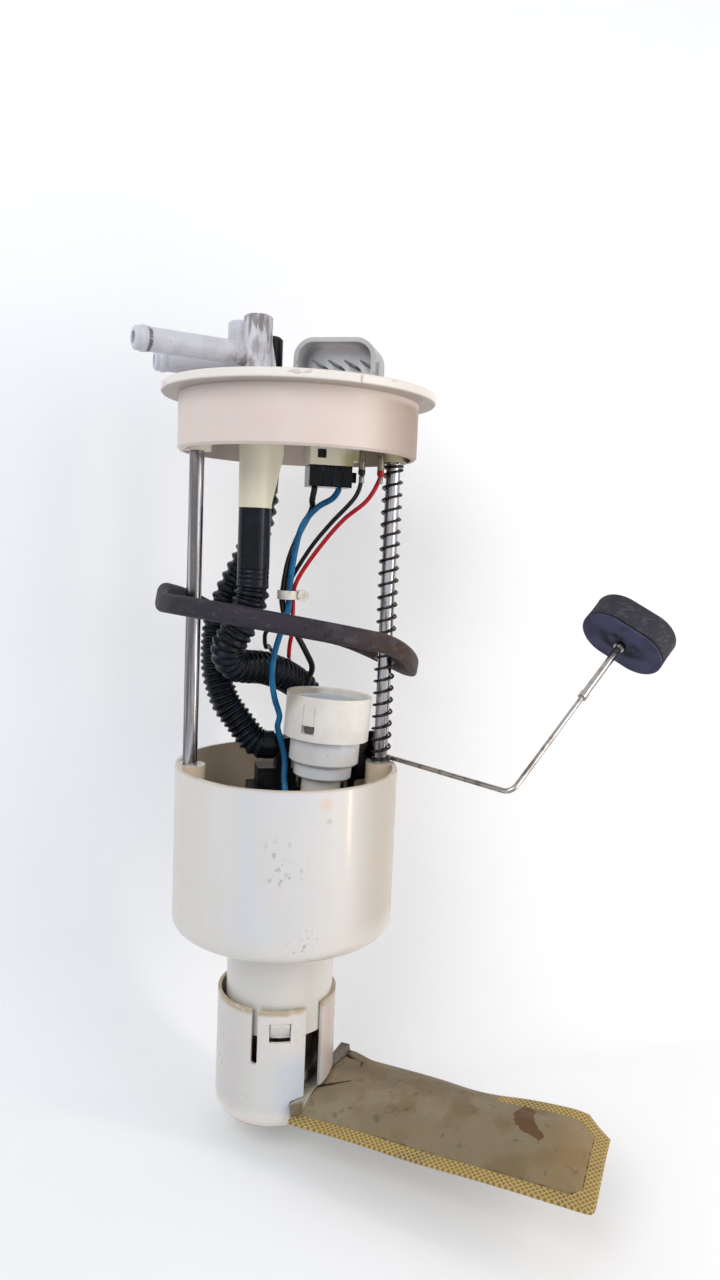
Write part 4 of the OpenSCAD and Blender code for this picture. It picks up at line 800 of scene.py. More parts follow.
def frames_along(path: np.ndarray) -> tuple[np.ndarray, np.ndarray]:
    """Carries two directions square to a path along it without twist.

    Args:
        path: the points of the path.

    Returns:
        The two directions at each point.
    """
    ahead = np.gradient(path, axis=0)
    ahead /= np.linalg.norm(ahead, axis=1)[:, None]
    start = (1.0, 0.0, 0.0) if abs(ahead[0][0]) < NEARLY_ALONG else (0.0, 1.0, 0.0)
    side = np.cross(ahead[0], start)
    sides = []
    for t in ahead:
        side = side - (side @ t) * t
        side = side / np.linalg.norm(side)
        sides.append(side)
    first = np.array(sides)
    return first, np.cross(ahead, first)


def tube(path: np.ndarray, radii: np.ndarray, sides: int) -> tuple[np.ndarray, list[list[int]]]:
    """Sweeps a round section along a path and closes its ends.

    Args:
        path: the centre line, in millimetres.
        radii: the radius at each point.
        sides: how many points go round.

    Returns:
        The points and the faces.
    """
    first, second = frames_along(path)
    turn = np.linspace(0, 2 * math.pi, sides, endpoint=False)
    ring = (np.cos(turn)[None, :, None] * first[:, None, :]
            + np.sin(turn)[None, :, None] * second[:, None, :])
    points = (path[:, None, :] + radii[:, None, None] * ring).reshape(-1, 3)
    faces = loft_faces(len(path), sides)
    faces.append(list(range(sides)))
    faces.append([(len(path) - 1) * sides + k for k in range(sides)])
    return points, faces


def loft_faces(rings: int, sides: int, closed: bool = False) -> list[list[int]]:
    """Joins rings of points with four-sided faces.

    Args:
        rings: how many rings there are.
        sides: how many points each ring has.
        closed: whether the last ring joins the first.

    Returns:
        The faces.
    """
    count = rings if closed else rings - 1
    return [[i * sides + k, i * sides + (k + 1) % sides,
             (i + 1) % rings * sides + (k + 1) % sides, (i + 1) % rings * sides + k]
            for i in range(count) for k in range(sides)]


def move(x: float, y: float, z: float) -> np.ndarray:
    """Gives the matrix of a shift in millimetres."""
    return np.array(Matrix.Translation((x, y, z)))


def turn_by(a: float, b: float, c: float) -> np.ndarray:
    """Gives the matrix that turns by a about X, then b about Y, then c about Z, in degrees."""
    first, second, third = (np.array(Matrix.Rotation(math.radians(angle), 4, axis))
                            for angle, axis in ((a, "X"), (b, "Y"), (c, "Z")))
    return third @ second @ first


def placed(points: np.ndarray, matrix: np.ndarray) -> np.ndarray:
    """Puts points through a matrix."""
    return points @ matrix[:3, :3].T + matrix[:3, 3]


def fade(value: Any, start: float, full: float) -> Any:
    """Rises smoothly from 0 at start to 1 at full."""
    t = np.clip((np.asarray(value, float) - start) / (full - start), 0, 1)
    return t * t * (3 - 2 * t)


def bump(value: Any, centre: float, spread: float) -> Any:
    """Is 1 at the centre and fades out over the spread on both sides."""
    return np.exp(-((value - centre) / spread) ** 2)


def noise_over(xs: np.ndarray, ys: np.ndarray, along: float, across: float, layer: float) -> np.ndarray:
    """Gives smooth noise over a flat pattern.

    Args:
        xs: each point's distance along the pattern.
        ys: its distance across.
        along: how many features there are in a millimetre along the pattern.
        across: how many there are in a millimetre across it.
        layer: which slice of the noise is used.

    Returns:
        The noise at each point.
    """
    return np.array([[noise.noise(Vector((x * along, y * across, layer))) for x, y in zip(*rows)]
                     for rows in zip(xs, ys)])


def keep_mark(piece: bpy.types.Object, name: str, values: np.ndarray) -> None:
    """Stores a value for each point of a piece, for its finish to read."""
    layer = piece.data.attributes.new(name, "FLOAT", "POINT")
    layer.data.foreach_set("value", np.asarray(values, np.float32))


@dataclass
class Assembly:
    """A sub-assembly of the module, with the finish of each CAD node that shows as it is."""

    finishes: ClassVar[dict[str, Finish]] = {}

    shop: Workshop

    def dress(self) -> None:
        """Gives the CAD nodes their finishes."""
        for node, finish in self.finishes.items():
            self.shop.dress(node, finish)


@dataclass
class Flange(Assembly):
    """The tank flange with its ports, connector, plug and tabs."""

    finishes = {
        "flange": FLANGE_ACETAL, "feed_port": PORT_NYLON, "return_port": PORT_NYLON,
        "return_valve": BLACK_NYLON, "connector_shroud": CONNECTOR_POLYESTER,
        "terminal_blades": BLADE_BRASS, "inner_plug": PLUG_NYLON, "sender_tabs": TERMINAL_BRASS}

    crimp_r: float = 1.35
    crimp_l: float = 3.2
    boot_r: float = 1.6
    boot_l: float = 2.6
    overlap: float = 0.2
    waist: float = 0.12
    end_share: float = 0.72
    end_l: float = 0.4
    tabs: tuple[tuple[str, float, Finish], ...] = (
        ("sender", 28.0, BLACK_VINYL), ("red", 36.6, RED_VINYL))
    tab_y: float = -6.0
    tab_foot: float = -28.5
    rings: int = 14
    sides: int = 24

    def crimps(self) -> None:
        """Makes the boot and the crimped barrel on each sender lead, just below its tab."""
        for label, x, vinyl in self.tabs:
            self.crimp(f"{label}_crimp_boot", self.boot_r, (x, self.tab_foot + self.overlap),
                       self.boot_l, 0.0, vinyl)
            self.crimp(f"{label}_crimp_barrel", self.crimp_r, (x, self.tab_foot - self.boot_l),
                       self.crimp_l, self.waist, TERMINAL_BRASS)

    def crimp(self, name: str, radius: float, top: tuple[float, float], length: float, waist: float,
              finish: Finish) -> None:
        """Makes one upright barrel with rounded ends.

        Args:
            name: the piece's name.
            radius: its radius.
            top: where its upper end is, in X and Z.
            length: its length.
            waist: how far its middle is pinched, as a share of the radius.
            finish: what it is made of.
        """
        drop = np.linspace(0, length, self.rings)
        path = np.column_stack([np.full(self.rings, top[0]), np.full(self.rings, self.tab_y),
                                top[1] - drop])
        pinched = 1 - waist * np.sin(math.pi * drop / length)
        to_end = np.minimum(drop, length - drop)
        rounded = np.minimum(1, self.end_share + (1 - self.end_share) * to_end / self.end_l)
        made = self.shop.piece(name, *tube(path, radius * pinched * rounded, self.sides), finish)
        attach(made, "flange")


@dataclass
class Columns(Assembly):
    """The two guide rods, the coil spring on one of them and the small steel pieces."""

    finishes = {"guide_rod_plain": ROD_STEEL, "guide_rod_sprung": ROD_STEEL,
                "rod_clips": SPRING_STEEL, "spring_washer": ROD_STEEL}

    rod_x: float = 44.0
    outer_d: float = 9.6
    wire_d: float = 1.2
    turns: int = 26
    closed_pitch: float = 1.1
    foot: float = -162.3
    top: float = -25.0
    clear: float = 0.02
    steps: int = 36
    sides: int = 12

    def spring(self) -> None:
        """Winds the spring, with its two end turns closed."""
        wire_r = self.wire_d / 2
        low, high = self.foot + wire_r + self.clear, self.top - wire_r - self.clear
        closed = self.wire_d * self.closed_pitch
        t = np.linspace(0, self.turns, self.turns * self.steps + 1)
        height = np.interp(t, [0, 1, self.turns - 1, self.turns],
                           [low, low + closed, high - closed, high])
        mean = self.outer_d / 2 - wire_r
        turn = 2 * math.pi * t
        path = np.column_stack([self.rod_x + mean * np.cos(turn), mean * np.sin(turn), height])
        coil = self.shop.piece("coil_spring", *tube(path, np.full(len(path), wire_r), self.sides),
                               SPRING_STEEL)
        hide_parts("spring")
        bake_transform(coil)


@dataclass
class SealRing(Assembly):
    """The rubber seal that hangs loose round the rods."""

    outer_d: float = 119.0
    width: float = 4.6
    height: float = 8.2
    corner_r: float = 2.0
    centre: Point = (-1.5, 0.0, -99.6)
    tip: tuple[float, float] = (-4.4, 9.4)
    droop_from: float = 28.0
    droop_rate: float = 0.0095
    lift: float = 5.6
    lift_left: tuple[float, float] = (20.0, 50.0)
    lift_back: tuple[float, float] = (-10.0, 20.0)
    around: int = 220
    corner_points: int = 6

    def section(self) -> np.ndarray:
        """Draws the ring's section, a rectangle with soft corners.

        Returns:
            The distance from the axis and the height of each point round it.
        """
        r, c = self.outer_d / 2, self.corner_r
        half = self.height / 2
        centres = ((r - c, half - c, 0), (r - self.width + c, half - c, 90),
                   (r - self.width + c, c - half, 180), (r - c, c - half, 270))
        return np.array([[x + c * math.cos(math.radians(a + s)), z + c * math.sin(math.radians(a + s))]
                         for x, z, a in centres for s in np.linspace(0, 90, self.corner_points)])

    def build(self) -> None:
        """Sweeps the section round, tips the ring, lets it droop at the right and lifts its left."""
        section = self.section()
        turn = np.linspace(0, 2 * math.pi, self.around, endpoint=False)
        flat = np.array([[s[0] * math.cos(a), s[0] * math.sin(a), s[1]] for a in turn for s in section])
        across, deep = flat[:, 0].copy(), flat[:, 1].copy()
        points = placed(flat, turn_by(self.tip[0], self.tip[1], 0)) + np.array(self.centre)
        over = np.maximum(across - self.droop_from, 0)
        points[:, 2] -= self.droop_rate * over ** 2
        points[:, 2] += self.lift * fade(-across, *self.lift_left) * fade(deep, *self.lift_back)
        ring = self.shop.piece("rubber_seal", points, loft_faces(self.around, len(section), True),
                               SEAL_NITRILE)
        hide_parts("seal_ring")
        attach(ring, "flange")


@dataclass
class Hose(Assembly):
    """A corrugated tube with plain cuffs."""

    name: str
    node: str
    route: Sequence[Point]
    outer_d: float
    cuff_d: float
    cuff_l: float
    end_cuff_l: float
    pitch: float
    low_pitch: float
    change_at: tuple[float, float]
    depth: float = 1.5
    low_depth_loss: float = 0.3
    sharpness: float = 1.3
    end_cuff_drop: float = 0.5
    cuff_change_l: float = 5.0
    cuff_lines: tuple[float, ...] = ()
    line_depth: float = 0.16
    line_w: float = 0.45
    cuff_fade: tuple[float, float] = (-0.6, 1.4)
    end_fade: tuple[float, float] = (-1.0, 1.0)
    step: float = 0.3
    sides: int = 36

    def radii(self, run: np.ndarray) -> np.ndarray:
        """Gives the hose's radius at each distance along it.

        Args:
            run: distances from the upper end, in millimetres.

        Returns:
            The radius at each.
        """
        low = fade(run, *self.change_at)
        pitch = self.pitch + (self.low_pitch - self.pitch) * low
        ridges = np.concatenate([[0], np.cumsum(np.diff(run) / pitch[1:])])
        crest = 0.5 - 0.5 * np.cos(2 * math.pi * ridges)
        depth = self.depth * (1 - self.low_depth_loss * low)
        ribbed = self.outer_d / 2 - depth * (1 - crest) ** self.sharpness
        middle, end = run[-1] / 2, run[-1] - self.end_cuff_l
        growth = self.outer_d / 2 - self.end_cuff_drop - self.cuff_d / 2
        cuff_r = self.cuff_d / 2 + growth * fade(run, middle, middle + self.cuff_change_l)
        plain = cuff_r - self.line_depth * sum(bump(run, at, self.line_w) for at in self.cuff_lines)
        into = fade(run, self.cuff_l + self.cuff_fade[0], self.cuff_l + self.cuff_fade[1])
        out = fade(run, end + self.end_fade[0], end + self.end_fade[1])
        share = into * (1 - out)
        return plain * (1 - share) + ribbed * share

    def build(self) -> None:
        """Makes the hose along its route between the flange and the reservoir."""
        path = smooth_route(self.route, self.step)
        radii = self.radii(distances(path))
        hose = self.shop.piece(self.name, *tube(path, radii, self.sides), HOSE_NYLON)
        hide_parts(self.node)
        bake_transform(hose)


# The routes, each from its upper end down, in millimetres

FEED_ROUTE = (
    (-17.9, 3, -47.3), (-17.9, 3, -62), (-17.9, 3, -76), (-18.5, 3, -87), (-21.5, 3.4, -97),
    (-25.2, 4.2, -104), (-27.5, 5.6, -109), (-27.4, 7.6, -114), (-24.2, 10.2, -118.2),
    (-19, 13, -119.8), (-11, 18, -120.8), (-2.6, 23.4, -123.8), (4.9, 30.1, -127.9),
    (11.7, 33.9, -133.2), (16.8, 34.3, -142), (18.5, 34, -153), (18.5, 34, -170), (18.5, 34, -185))
RETURN_ROUTE = (
    (-11.6, 18.5, -20), (-11.6, 18.5, -24.5), (-11.6, 18.6, -29), (-11.8, 19.4, -35),
    (-12.2, 20, -43), (-14, 21, -54), (-17.5, 22, -67), (-22.5, 22.5, -78), (-27, 23, -88),
    (-31, 23.5, -100), (-32, 23.6, -112), (-31.5, 23, -123), (-29.5, 21.5, -131),
    (-26.6, 20, -138.3), (-21.6, 18.4, -145.2), (-15.4, 16.4, -153.2), (-12, 15.2, -156),
    (-8.6, 14.5, -157), (-6.5, 14.5, -157), (-4.5, 14.5, -157))
BLUE_ROUTE = (
    (19.5, 3, -36.5), (19.5, 3, -37.8), (17, 4, -41.5), (11.2, 5.3, -45.2), (6, 6.7, -51.1),
    (3, 7.2, -58), (0.8, 7.2, -70), (-0.6, 7.2, -84), (-0.6, 7, -91), (-2.2, 6.8, -97.5),
    (-4, 7.4, -103.5), (-6.5, 7, -113), (-7.4, 6.5, -123), (-6, 6.5, -133), (-3.4, 6.3, -141.5),
    (-4.1, 6.3, -146.8), (-2.3, 6.2, -153.3), (-0.6, 4, -162), (-1, 0, -172), (1, -8, -186),
    (7, -14, -198), (11, -16, -202.6), (11, -16, -204))
BLACK_ROUTE = (
    (8.5, 3, -36.5), (8.5, 3, -38), (8.1, 5.1, -42.4), (8.7, 9.2, -46.8), (4, 10.6, -57),
    (-0.8, 10.3, -70), (-3.2, 9.2, -84), (-3.2, 9.2, -90.5), (-0.8, 10.4, -98.1), (4.6, 12.7, -105),
    (9.8, 15, -113.5), (13.4, 18.7, -120.7), (12.3, 23.5, -128.2), (11, 23.3, -135.1),
    (9.4, 24.3, -142), (11.9, 23.9, -151.9), (18, 21.9, -160), (24.5, 19, -168), (27.5, 12.5, -176),
    (29.5, 3, -185), (26, -8, -195), (15, -16, -201.8), (15, -16, -204))
RED_ROUTE = (
    (36.6, -6, -28.5), (36, -6, -33), (31, -5, -42), (21.5, -0.5, -51), (12.5, 4, -63),
    (4.5, 7.6, -76), (1.6, 8.8, -84), (1.6, 8.8, -91), (1.6, 8.6, -102), (1.3, 12.5, -109),
    (1.8, 17.5, -114.5), (3, 24.2, -116.1), (4.2, 32.2, -118), (7, 40.6, -124.9), (13, 43, -131.5),
    (21, 43, -138.5), (29.5, 37, -146), (33.5, 29, -152), (33.2, 21.5, -155), (34.6, 18.9, -155))
SENDER_ROUTE = (
    (28, -6, -28.5), (28, -6, -33), (25.5, -4.5, -41), (16, 1.5, -53), (8.5, 7, -64), (1, 11, -78),
    (-0.6, 10.9, -84), (-0.8, 11, -91), (-2.9, 14.2, -96.9), (-9.4, 13.4, -103), (-10.2, 14.6, -107),
    (-9.3, 16.5, -111), (-7, 24, -111.5), (-3, 32, -117), (5, 41.5, -129), (13, 45.5, -136.5),
    (22, 45, -143.5), (31, 38, -150), (36, 30, -155), (35.9, 22.9, -158), (37.3, 20.3, -158))


@dataclass
class Wiring(Assembly):
    """The four leads and the tie round them."""

    finishes = {"cable_tie": TIE_NYLON}

    thick_d: float = 2.8
    thin_d: float = 2.0
    tie_z: float = -84.0
    loose_to: float = -126.0
    step: float = 0.9
    sides: int = 16

    def build(self) -> None:
        """Makes each lead as a round tube along its route, through the tie."""
        for name, node, route, size, finish in (
                ("blue_lead", "lead_blue", BLUE_ROUTE, self.thick_d, BLUE_VINYL),
                ("black_lead", "lead_black", BLACK_ROUTE, self.thick_d, BLACK_VINYL),
                ("red_lead", "lead_red", RED_ROUTE, self.thin_d, RED_VINYL),
                ("sender_lead", "lead_sender", SENDER_ROUTE, self.thin_d, BLACK_VINYL)):
            path = smooth_route(route, self.step)
            made = self.shop.piece(name, *tube(path, np.full(len(path), size / 2), self.sides), finish)
            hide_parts(node)
            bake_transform(made)


@dataclass
class Reservoir(Assembly):
    """The reservoir, what stands in it and the lower cup."""

    finishes = {
        "reservoir": RESERVOIR_ACETAL, "pump_cover": RESERVOIR_ACETAL, "feed_elbow": BLACK_NYLON,
        "return_elbow": BLACK_NYLON, "return_funnel": FUNNEL_POLYPROPYLENE,
        "cup_collar": COLLAR_ACETAL, "lower_cup": LOWER_CUP_ACETAL, "pump_plug": BLACK_NYLON}


@dataclass
class Pump(Assembly):
    """The pump, its rubber and its moving parts."""

    finishes = {
        "pump_can": CAN_STEEL, "pump_outlet_cap": BLACK_NYLON, "pump_inlet_cap": INLET_NYLON,
        "pump_magnets": MAGNET_FERRITE, "armature": WINDING_COPPER, "impeller": IMPELLER_PHENOLIC,
        "pump_isolator": ISOLATOR_RUBBER}


@dataclass(frozen=True)
class Sag:
    """A stretch where the cloth hangs, deepest at one distance along the bag and to one side."""

    depth: float
    along: float
    spread: float
    side: tuple[float, float]


@dataclass(frozen=True)
class Fold:
    """A short crease in the cloth, wide at its start."""

    start: tuple[float, float]
    end: tuple[float, float]
    width: float
    start_share: float = 1.15
    taper: float = 0.8

    def mark(self, xs: np.ndarray, ys: np.ndarray) -> np.ndarray:
        """Marks the crease on the cloth.

        Args:
            xs: distances along the bag.
            ys: distances across it.

        Returns:
            A value at each point, 1 on the crease and fading out over its width.
        """
        run, rise = self.end[0] - self.start[0], self.end[1] - self.start[1]
        across, up = xs - self.start[0], ys - self.start[1]
        t = np.clip((across * run + up * rise) / (run ** 2 + rise ** 2), 0, 1)
        gap = np.hypot(across - t * run, up - t * rise)
        return bump(gap, 0, self.width * (self.start_share - self.taper * t))


@dataclass
class StrainerBag(Assembly):
    """The woven bag on the pump's inlet, welded all round outside its bar."""

    finishes = {"strainer_frame": BAR_ACETAL}

    bar_turn: float = -41.0
    place_at: Point = (20.0, 2.0, -312.0)
    lean: tuple[float, float] = (8.0, -3.5)
    root: float = 4.5
    length: float = 130.0
    width: float = 53.5
    cut: float = 10.5
    heel: float = 3.2
    heel_side: tuple[float, float] = (8.0, 24.0)
    heel_l: float = 16.0
    corner_r: float = 3.0
    skew: float = 0.09
    skew_from: tuple[float, float] = (96.0, 130.0)
    border: float = 6.0
    border_t: float = 1.6
    border_r: float = 5.0
    thick: float = 7.0
    step: float = 0.55
    edge_t: float = 0.35
    edge_l: float = 0.9
    first_rise: float = 0.28
    rise_l: tuple[float, float, float] = (0.1, 1.4, 13.0)
    wrinkle: float = 0.75
    wrinkle_rate: tuple[float, float] = (0.045, 0.09)
    wrinkle_layer: float = 1.3
    wrinkle_inside: tuple[float, float] = (3.0, 12.0)
    under_share: float = 0.5
    ripple: float = 0.12
    ripple_inside: tuple[float, float] = (2.0, 8.0)
    wander: float = 0.9
    wander_rate: float = 0.5
    wander_layer: float = 3.7
    dent: float = 0.9
    dent_inside: tuple[float, float] = (0.5, 4.0)
    weld_blur: float = 0.25
    bare_edge_x: tuple[float, float] = (72.0, 92.0)
    bare_edge_w: float = 1.5
    seam_at: float = 0.1
    seam_w: float = 0.45
    seam_share: tuple[float, float] = (0.55, 0.6)
    seam_x: tuple[float, float] = (20.0, 45.0)
    root_w: float = 1.1
    root_y: tuple[float, float] = (-22.0, -12.0)
    far_end_x: tuple[float, float] = (88.0, 128.0)
    shade_x: tuple[float, float] = (30.0, 95.0)
    shade_y: tuple[float, float] = (-8.0, 22.0)
    stain_blur: float = 0.18
    sags: tuple[Sag, ...] = (
        Sag(1.6, 0.0, 0.18, (0.2, -1.0)), Sag(2.2, 0.58, 0.16, (-0.6, 1.0)),
        Sag(1.3, 0.42, 0.22, (-0.2, -1.0)))
    tip_sag: float = 2.4
    tip_from: float = 0.86
    far_edge_sag: float = 2.6
    far_edge_w: float = 6.5
    far_edge_start: tuple[float, float] = (6.0, 18.0)
    far_edge_end: tuple[float, float] = (62.0, 96.0)
    stain: tuple[tuple[float, float], ...] = (
        (93.6, 21.9), (95.8, 22.5), (99.1, 19.2), (101.9, 14.8), (101.3, 12.6), (105.9, 5.8), (109.4, 2.7),
        (108.2, -0.8), (103.4, 1.3), (97.5, 3.2), (94.3, 7.6), (93.0, 11.5), (92.8, 15.9), (94.3, 19.2))
    folds: tuple[Fold, ...] = (
        Fold((5.0, -4.6), (17.9, 3.4), 1.1), Fold((5.0, 22.4), (15.1, 19.4), 0.9),
        Fold((15.1, 19.4), (16.6, 14.6), 0.6))

    def place(self) -> np.ndarray:
        """Gives the matrix of the bag's own frame."""
        return turn_by(0, 0, self.bar_turn) @ move(*self.place_at) @ turn_by(*self.lean, 0)

    def grid(self) -> tuple[np.ndarray, np.ndarray, np.ndarray]:
        """Lays out the bag flat.

        Returns:
            The distances along and across it, and how far each point is inside the edge.
        """
        end, half = self.root + self.length, self.width / 2
        x = np.linspace(self.root, end, round(self.length / self.step) + 1)
        v = np.linspace(0, 1, round(self.width / self.step) + 1)
        far = half - np.maximum(x - (end - self.cut), 0)
        round_off = np.maximum(x - (end - self.corner_r), 0)
        near = -half + self.corner_r - np.sqrt(self.corner_r ** 2 - round_off ** 2)
        xs = np.repeat(x[:, None], len(v), axis=1)
        ys = near[:, None] + (far - near)[:, None] * v[None, :]
        slant = (end - self.cut + half - xs - ys) / math.sqrt(2)
        inside = np.minimum.reduce([ys - near[:, None], half - ys, end - xs, slant])
        return xs, ys, np.maximum(inside, 0)

    def marks(self, xs: np.ndarray, ys: np.ndarray, inside: np.ndarray,
              wander: np.ndarray) -> dict[str, np.ndarray]:
        """Works out where the weld, the stain and the folds are.

        Args:
            xs: distances along the bag.
            ys: distances across it.
            inside: distances from its edge.
            wander: noise that makes the lines wander.

        Returns:
            A value from 0 to 1 at each point, for each mark.
        """
        half, turn_in = self.width / 2, self.border + self.border_r
        corner = np.hypot(np.maximum(xs - (self.root + self.length - turn_in), 0),
                          np.maximum(-half + turn_in - ys, 0))
        rim = np.where(corner > 0, np.minimum(inside - self.border, self.border_r - corner),
                       inside - self.border)
        far_seam = half - self.border
        bare = (1 - fade(xs, *self.bare_edge_x)) * fade(ys, far_seam - self.bare_edge_w, far_seam)
        patchy = self.seam_share[0] + self.seam_share[1] * wander
        seam = bump(rim, self.seam_at, self.seam_w) * patchy * fade(xs, *self.seam_x)
        blur = [(a, b) for a in (-self.stain_blur, self.stain_blur)
                for b in (-self.stain_blur, self.stain_blur)]
        shift = self.wander * wander
        stain = np.array([[sum(self.in_stain(x + s + a, y + s + b) for a, b in blur) / len(blur)
                           for x, y, s in zip(*rows)] for rows in zip(xs, ys, shift)])
        return {"weld": (1 - fade(rim, -self.weld_blur, self.weld_blur)) * (1 - bare),
                "seam": np.clip(seam, 0, 1), "stain": stain,
                "fold": np.maximum.reduce([fold.mark(xs, ys) for fold in self.folds]),
                "root": bump(xs, self.root, self.root_w) * fade(ys, *self.root_y),
                "far_end": fade(xs, *self.far_end_x),
                "shade": (1 - fade(xs, *self.shade_x)) * fade(ys, *self.shade_y)}

    def in_stain(self, x: float, y: float) -> float:
        """Says whether a point lies in the stain's outline.

        Args:
            x: its distance along the bag.
            y: its distance across.

        Returns:
            1 inside the outline and 0 outside it.
        """
        odd = False
        for here, last in zip(self.stain, self.stain[-1:] + self.stain[:-1]):
            if (here[1] > y) != (last[1] > y):
                cross = (last[0] - here[0]) * (y - here[1]) / (last[1] - here[1]) + here[0]
                odd = odd != (x < cross)
        return float(odd)

    def sag(self, xs: np.ndarray, ys: np.ndarray) -> np.ndarray:
        """Works out how far the cloth hangs below its flat plane.

        Args:
            xs: distances along the bag.
            ys: distances across it.

        Returns:
            The drop at each point, in millimetres.
        """
        along, across = (xs - self.root) / self.length, ys / (self.width / 2)
        down = sum(s.depth * bump(along, s.along, s.spread) * fade(across, *s.side) for s in self.sags)
        down += self.tip_sag * fade(along, self.tip_from, 1) * fade(across, 0, 1)
        stretch = fade(xs, *self.far_edge_start) * (1 - fade(xs, *self.far_edge_end))
        return down + self.far_edge_sag * fade(self.width / 2 - ys, self.far_edge_w, 0) * stretch

    def cloth(self, xs: np.ndarray, ys: np.ndarray, inside: np.ndarray, fold: np.ndarray,
              wander: np.ndarray) -> tuple[np.ndarray, np.ndarray]:
        """Gives the heights of the upper and the lower cloth.

        Args:
            xs: distances along the bag.
            ys: distances across it.
            inside: distances from its edge.
            fold: how deep in a fold each point is, from 0 to 1.
            wander: noise that gives a fine ripple.

        Returns:
            The height of each point of both cloths.
        """
        begin, first, last = self.rise_l
        puff = (fade(inside, self.border + begin, self.border + first) * self.first_rise
                + fade(inside, self.border, self.border + last) * (1 - self.first_rise))
        half = self.border_t / 2 + (self.thick / 2 - self.border_t / 2) * puff
        half = half * (self.edge_t + (1 - self.edge_t) * fade(inside, 0, self.edge_l))
        wrinkle = noise_over(xs, ys, *self.wrinkle_rate, self.wrinkle_layer)
        wrinkle = (self.wrinkle * wrinkle * fade(inside, *self.wrinkle_inside)
                   + self.ripple * wander * fade(inside, *self.ripple_inside))
        down = self.sag(xs, ys)
        dent = self.dent * fold * fade(inside, *self.dent_inside)
        return half - dent + wrinkle - down, -half + wrinkle * self.under_share - down

    def faces(self, rows: int, columns: int) -> list[list[int]]:
        """Joins the points of the two cloths, and closes the edge between them.

        Args:
            rows: how many points lie along the bag.
            columns: how many lie across it.

        Returns:
            The faces.
        """
        count = rows * columns
        faces = []
        for i in range(rows - 1):
            for a in range(i * columns, (i + 1) * columns - 1):
                b = a + columns
                faces.append([a, b, b + 1, a + 1])
                faces.append([a + count, a + 1 + count, b + 1 + count, b + count])
        last = (rows - 1) * columns
        loop = [*range(0, last, columns), *range(last, count - 1),
                *range(count - 1, columns - 1, -columns), *range(columns - 1, 0, -1)]
        faces += [[a, a + count, b + count, b] for a, b in zip(loop, loop[1:] + loop[:1])]
        return faces

    def build(self) -> None:
        """Makes the bag as two cloths that meet in the welded border."""
        xs, ys, inside = self.grid()
        wander = noise_over(xs, ys, self.wander_rate, self.wander_rate, self.wander_layer)
        marks = self.marks(xs, ys, inside, wander)
        over, under = self.cloth(xs, ys, inside, marks["fold"], wander)
        heel = self.heel * fade(-ys, *self.heel_side) * (1 - fade(xs, self.root, self.root + self.heel_l))
        long = xs - heel - self.skew * ys * fade(xs, *self.skew_from)
        flat = [np.column_stack([long.ravel(), ys.ravel(), z.ravel()]) for z in (over, under)]
        bag = self.shop.piece("strainer_bag", placed(np.vstack(flat), self.place()),
                              self.faces(*xs.shape), BAG_SCREEN)
        for name, values in marks.items():
            keep_mark(bag, name, np.tile(values.ravel(), 2))
        self.keep_pattern(bag, xs, ys)
        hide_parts("strainer_sock")
        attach(bag, "reservoir")

    def keep_pattern(self, bag: bpy.types.Object, xs: np.ndarray, ys: np.ndarray) -> None:
        """Stores the flat pattern on the mesh, for its weave.

        Args:
            bag: the bag.
            xs: distances along it.
            ys: distances across it.
        """
        flat = np.tile(np.column_stack([xs.ravel(), ys.ravel()]) * MM, (2, 1))
        pattern = bag.data.uv_layers.new(name="pattern")
        corners = np.zeros(len(bag.data.loops), np.int32)
        bag.data.loops.foreach_get("vertex_index", corners)
        pattern.uv.foreach_set("vector", flat[corners].astype(np.float32).ravel())


class Skin(Enum):
    """What a ring of the float's surface belongs to."""

    FACE = "a cut face"
    SIDE = "the side"
    CREASE = "the crease round the side"


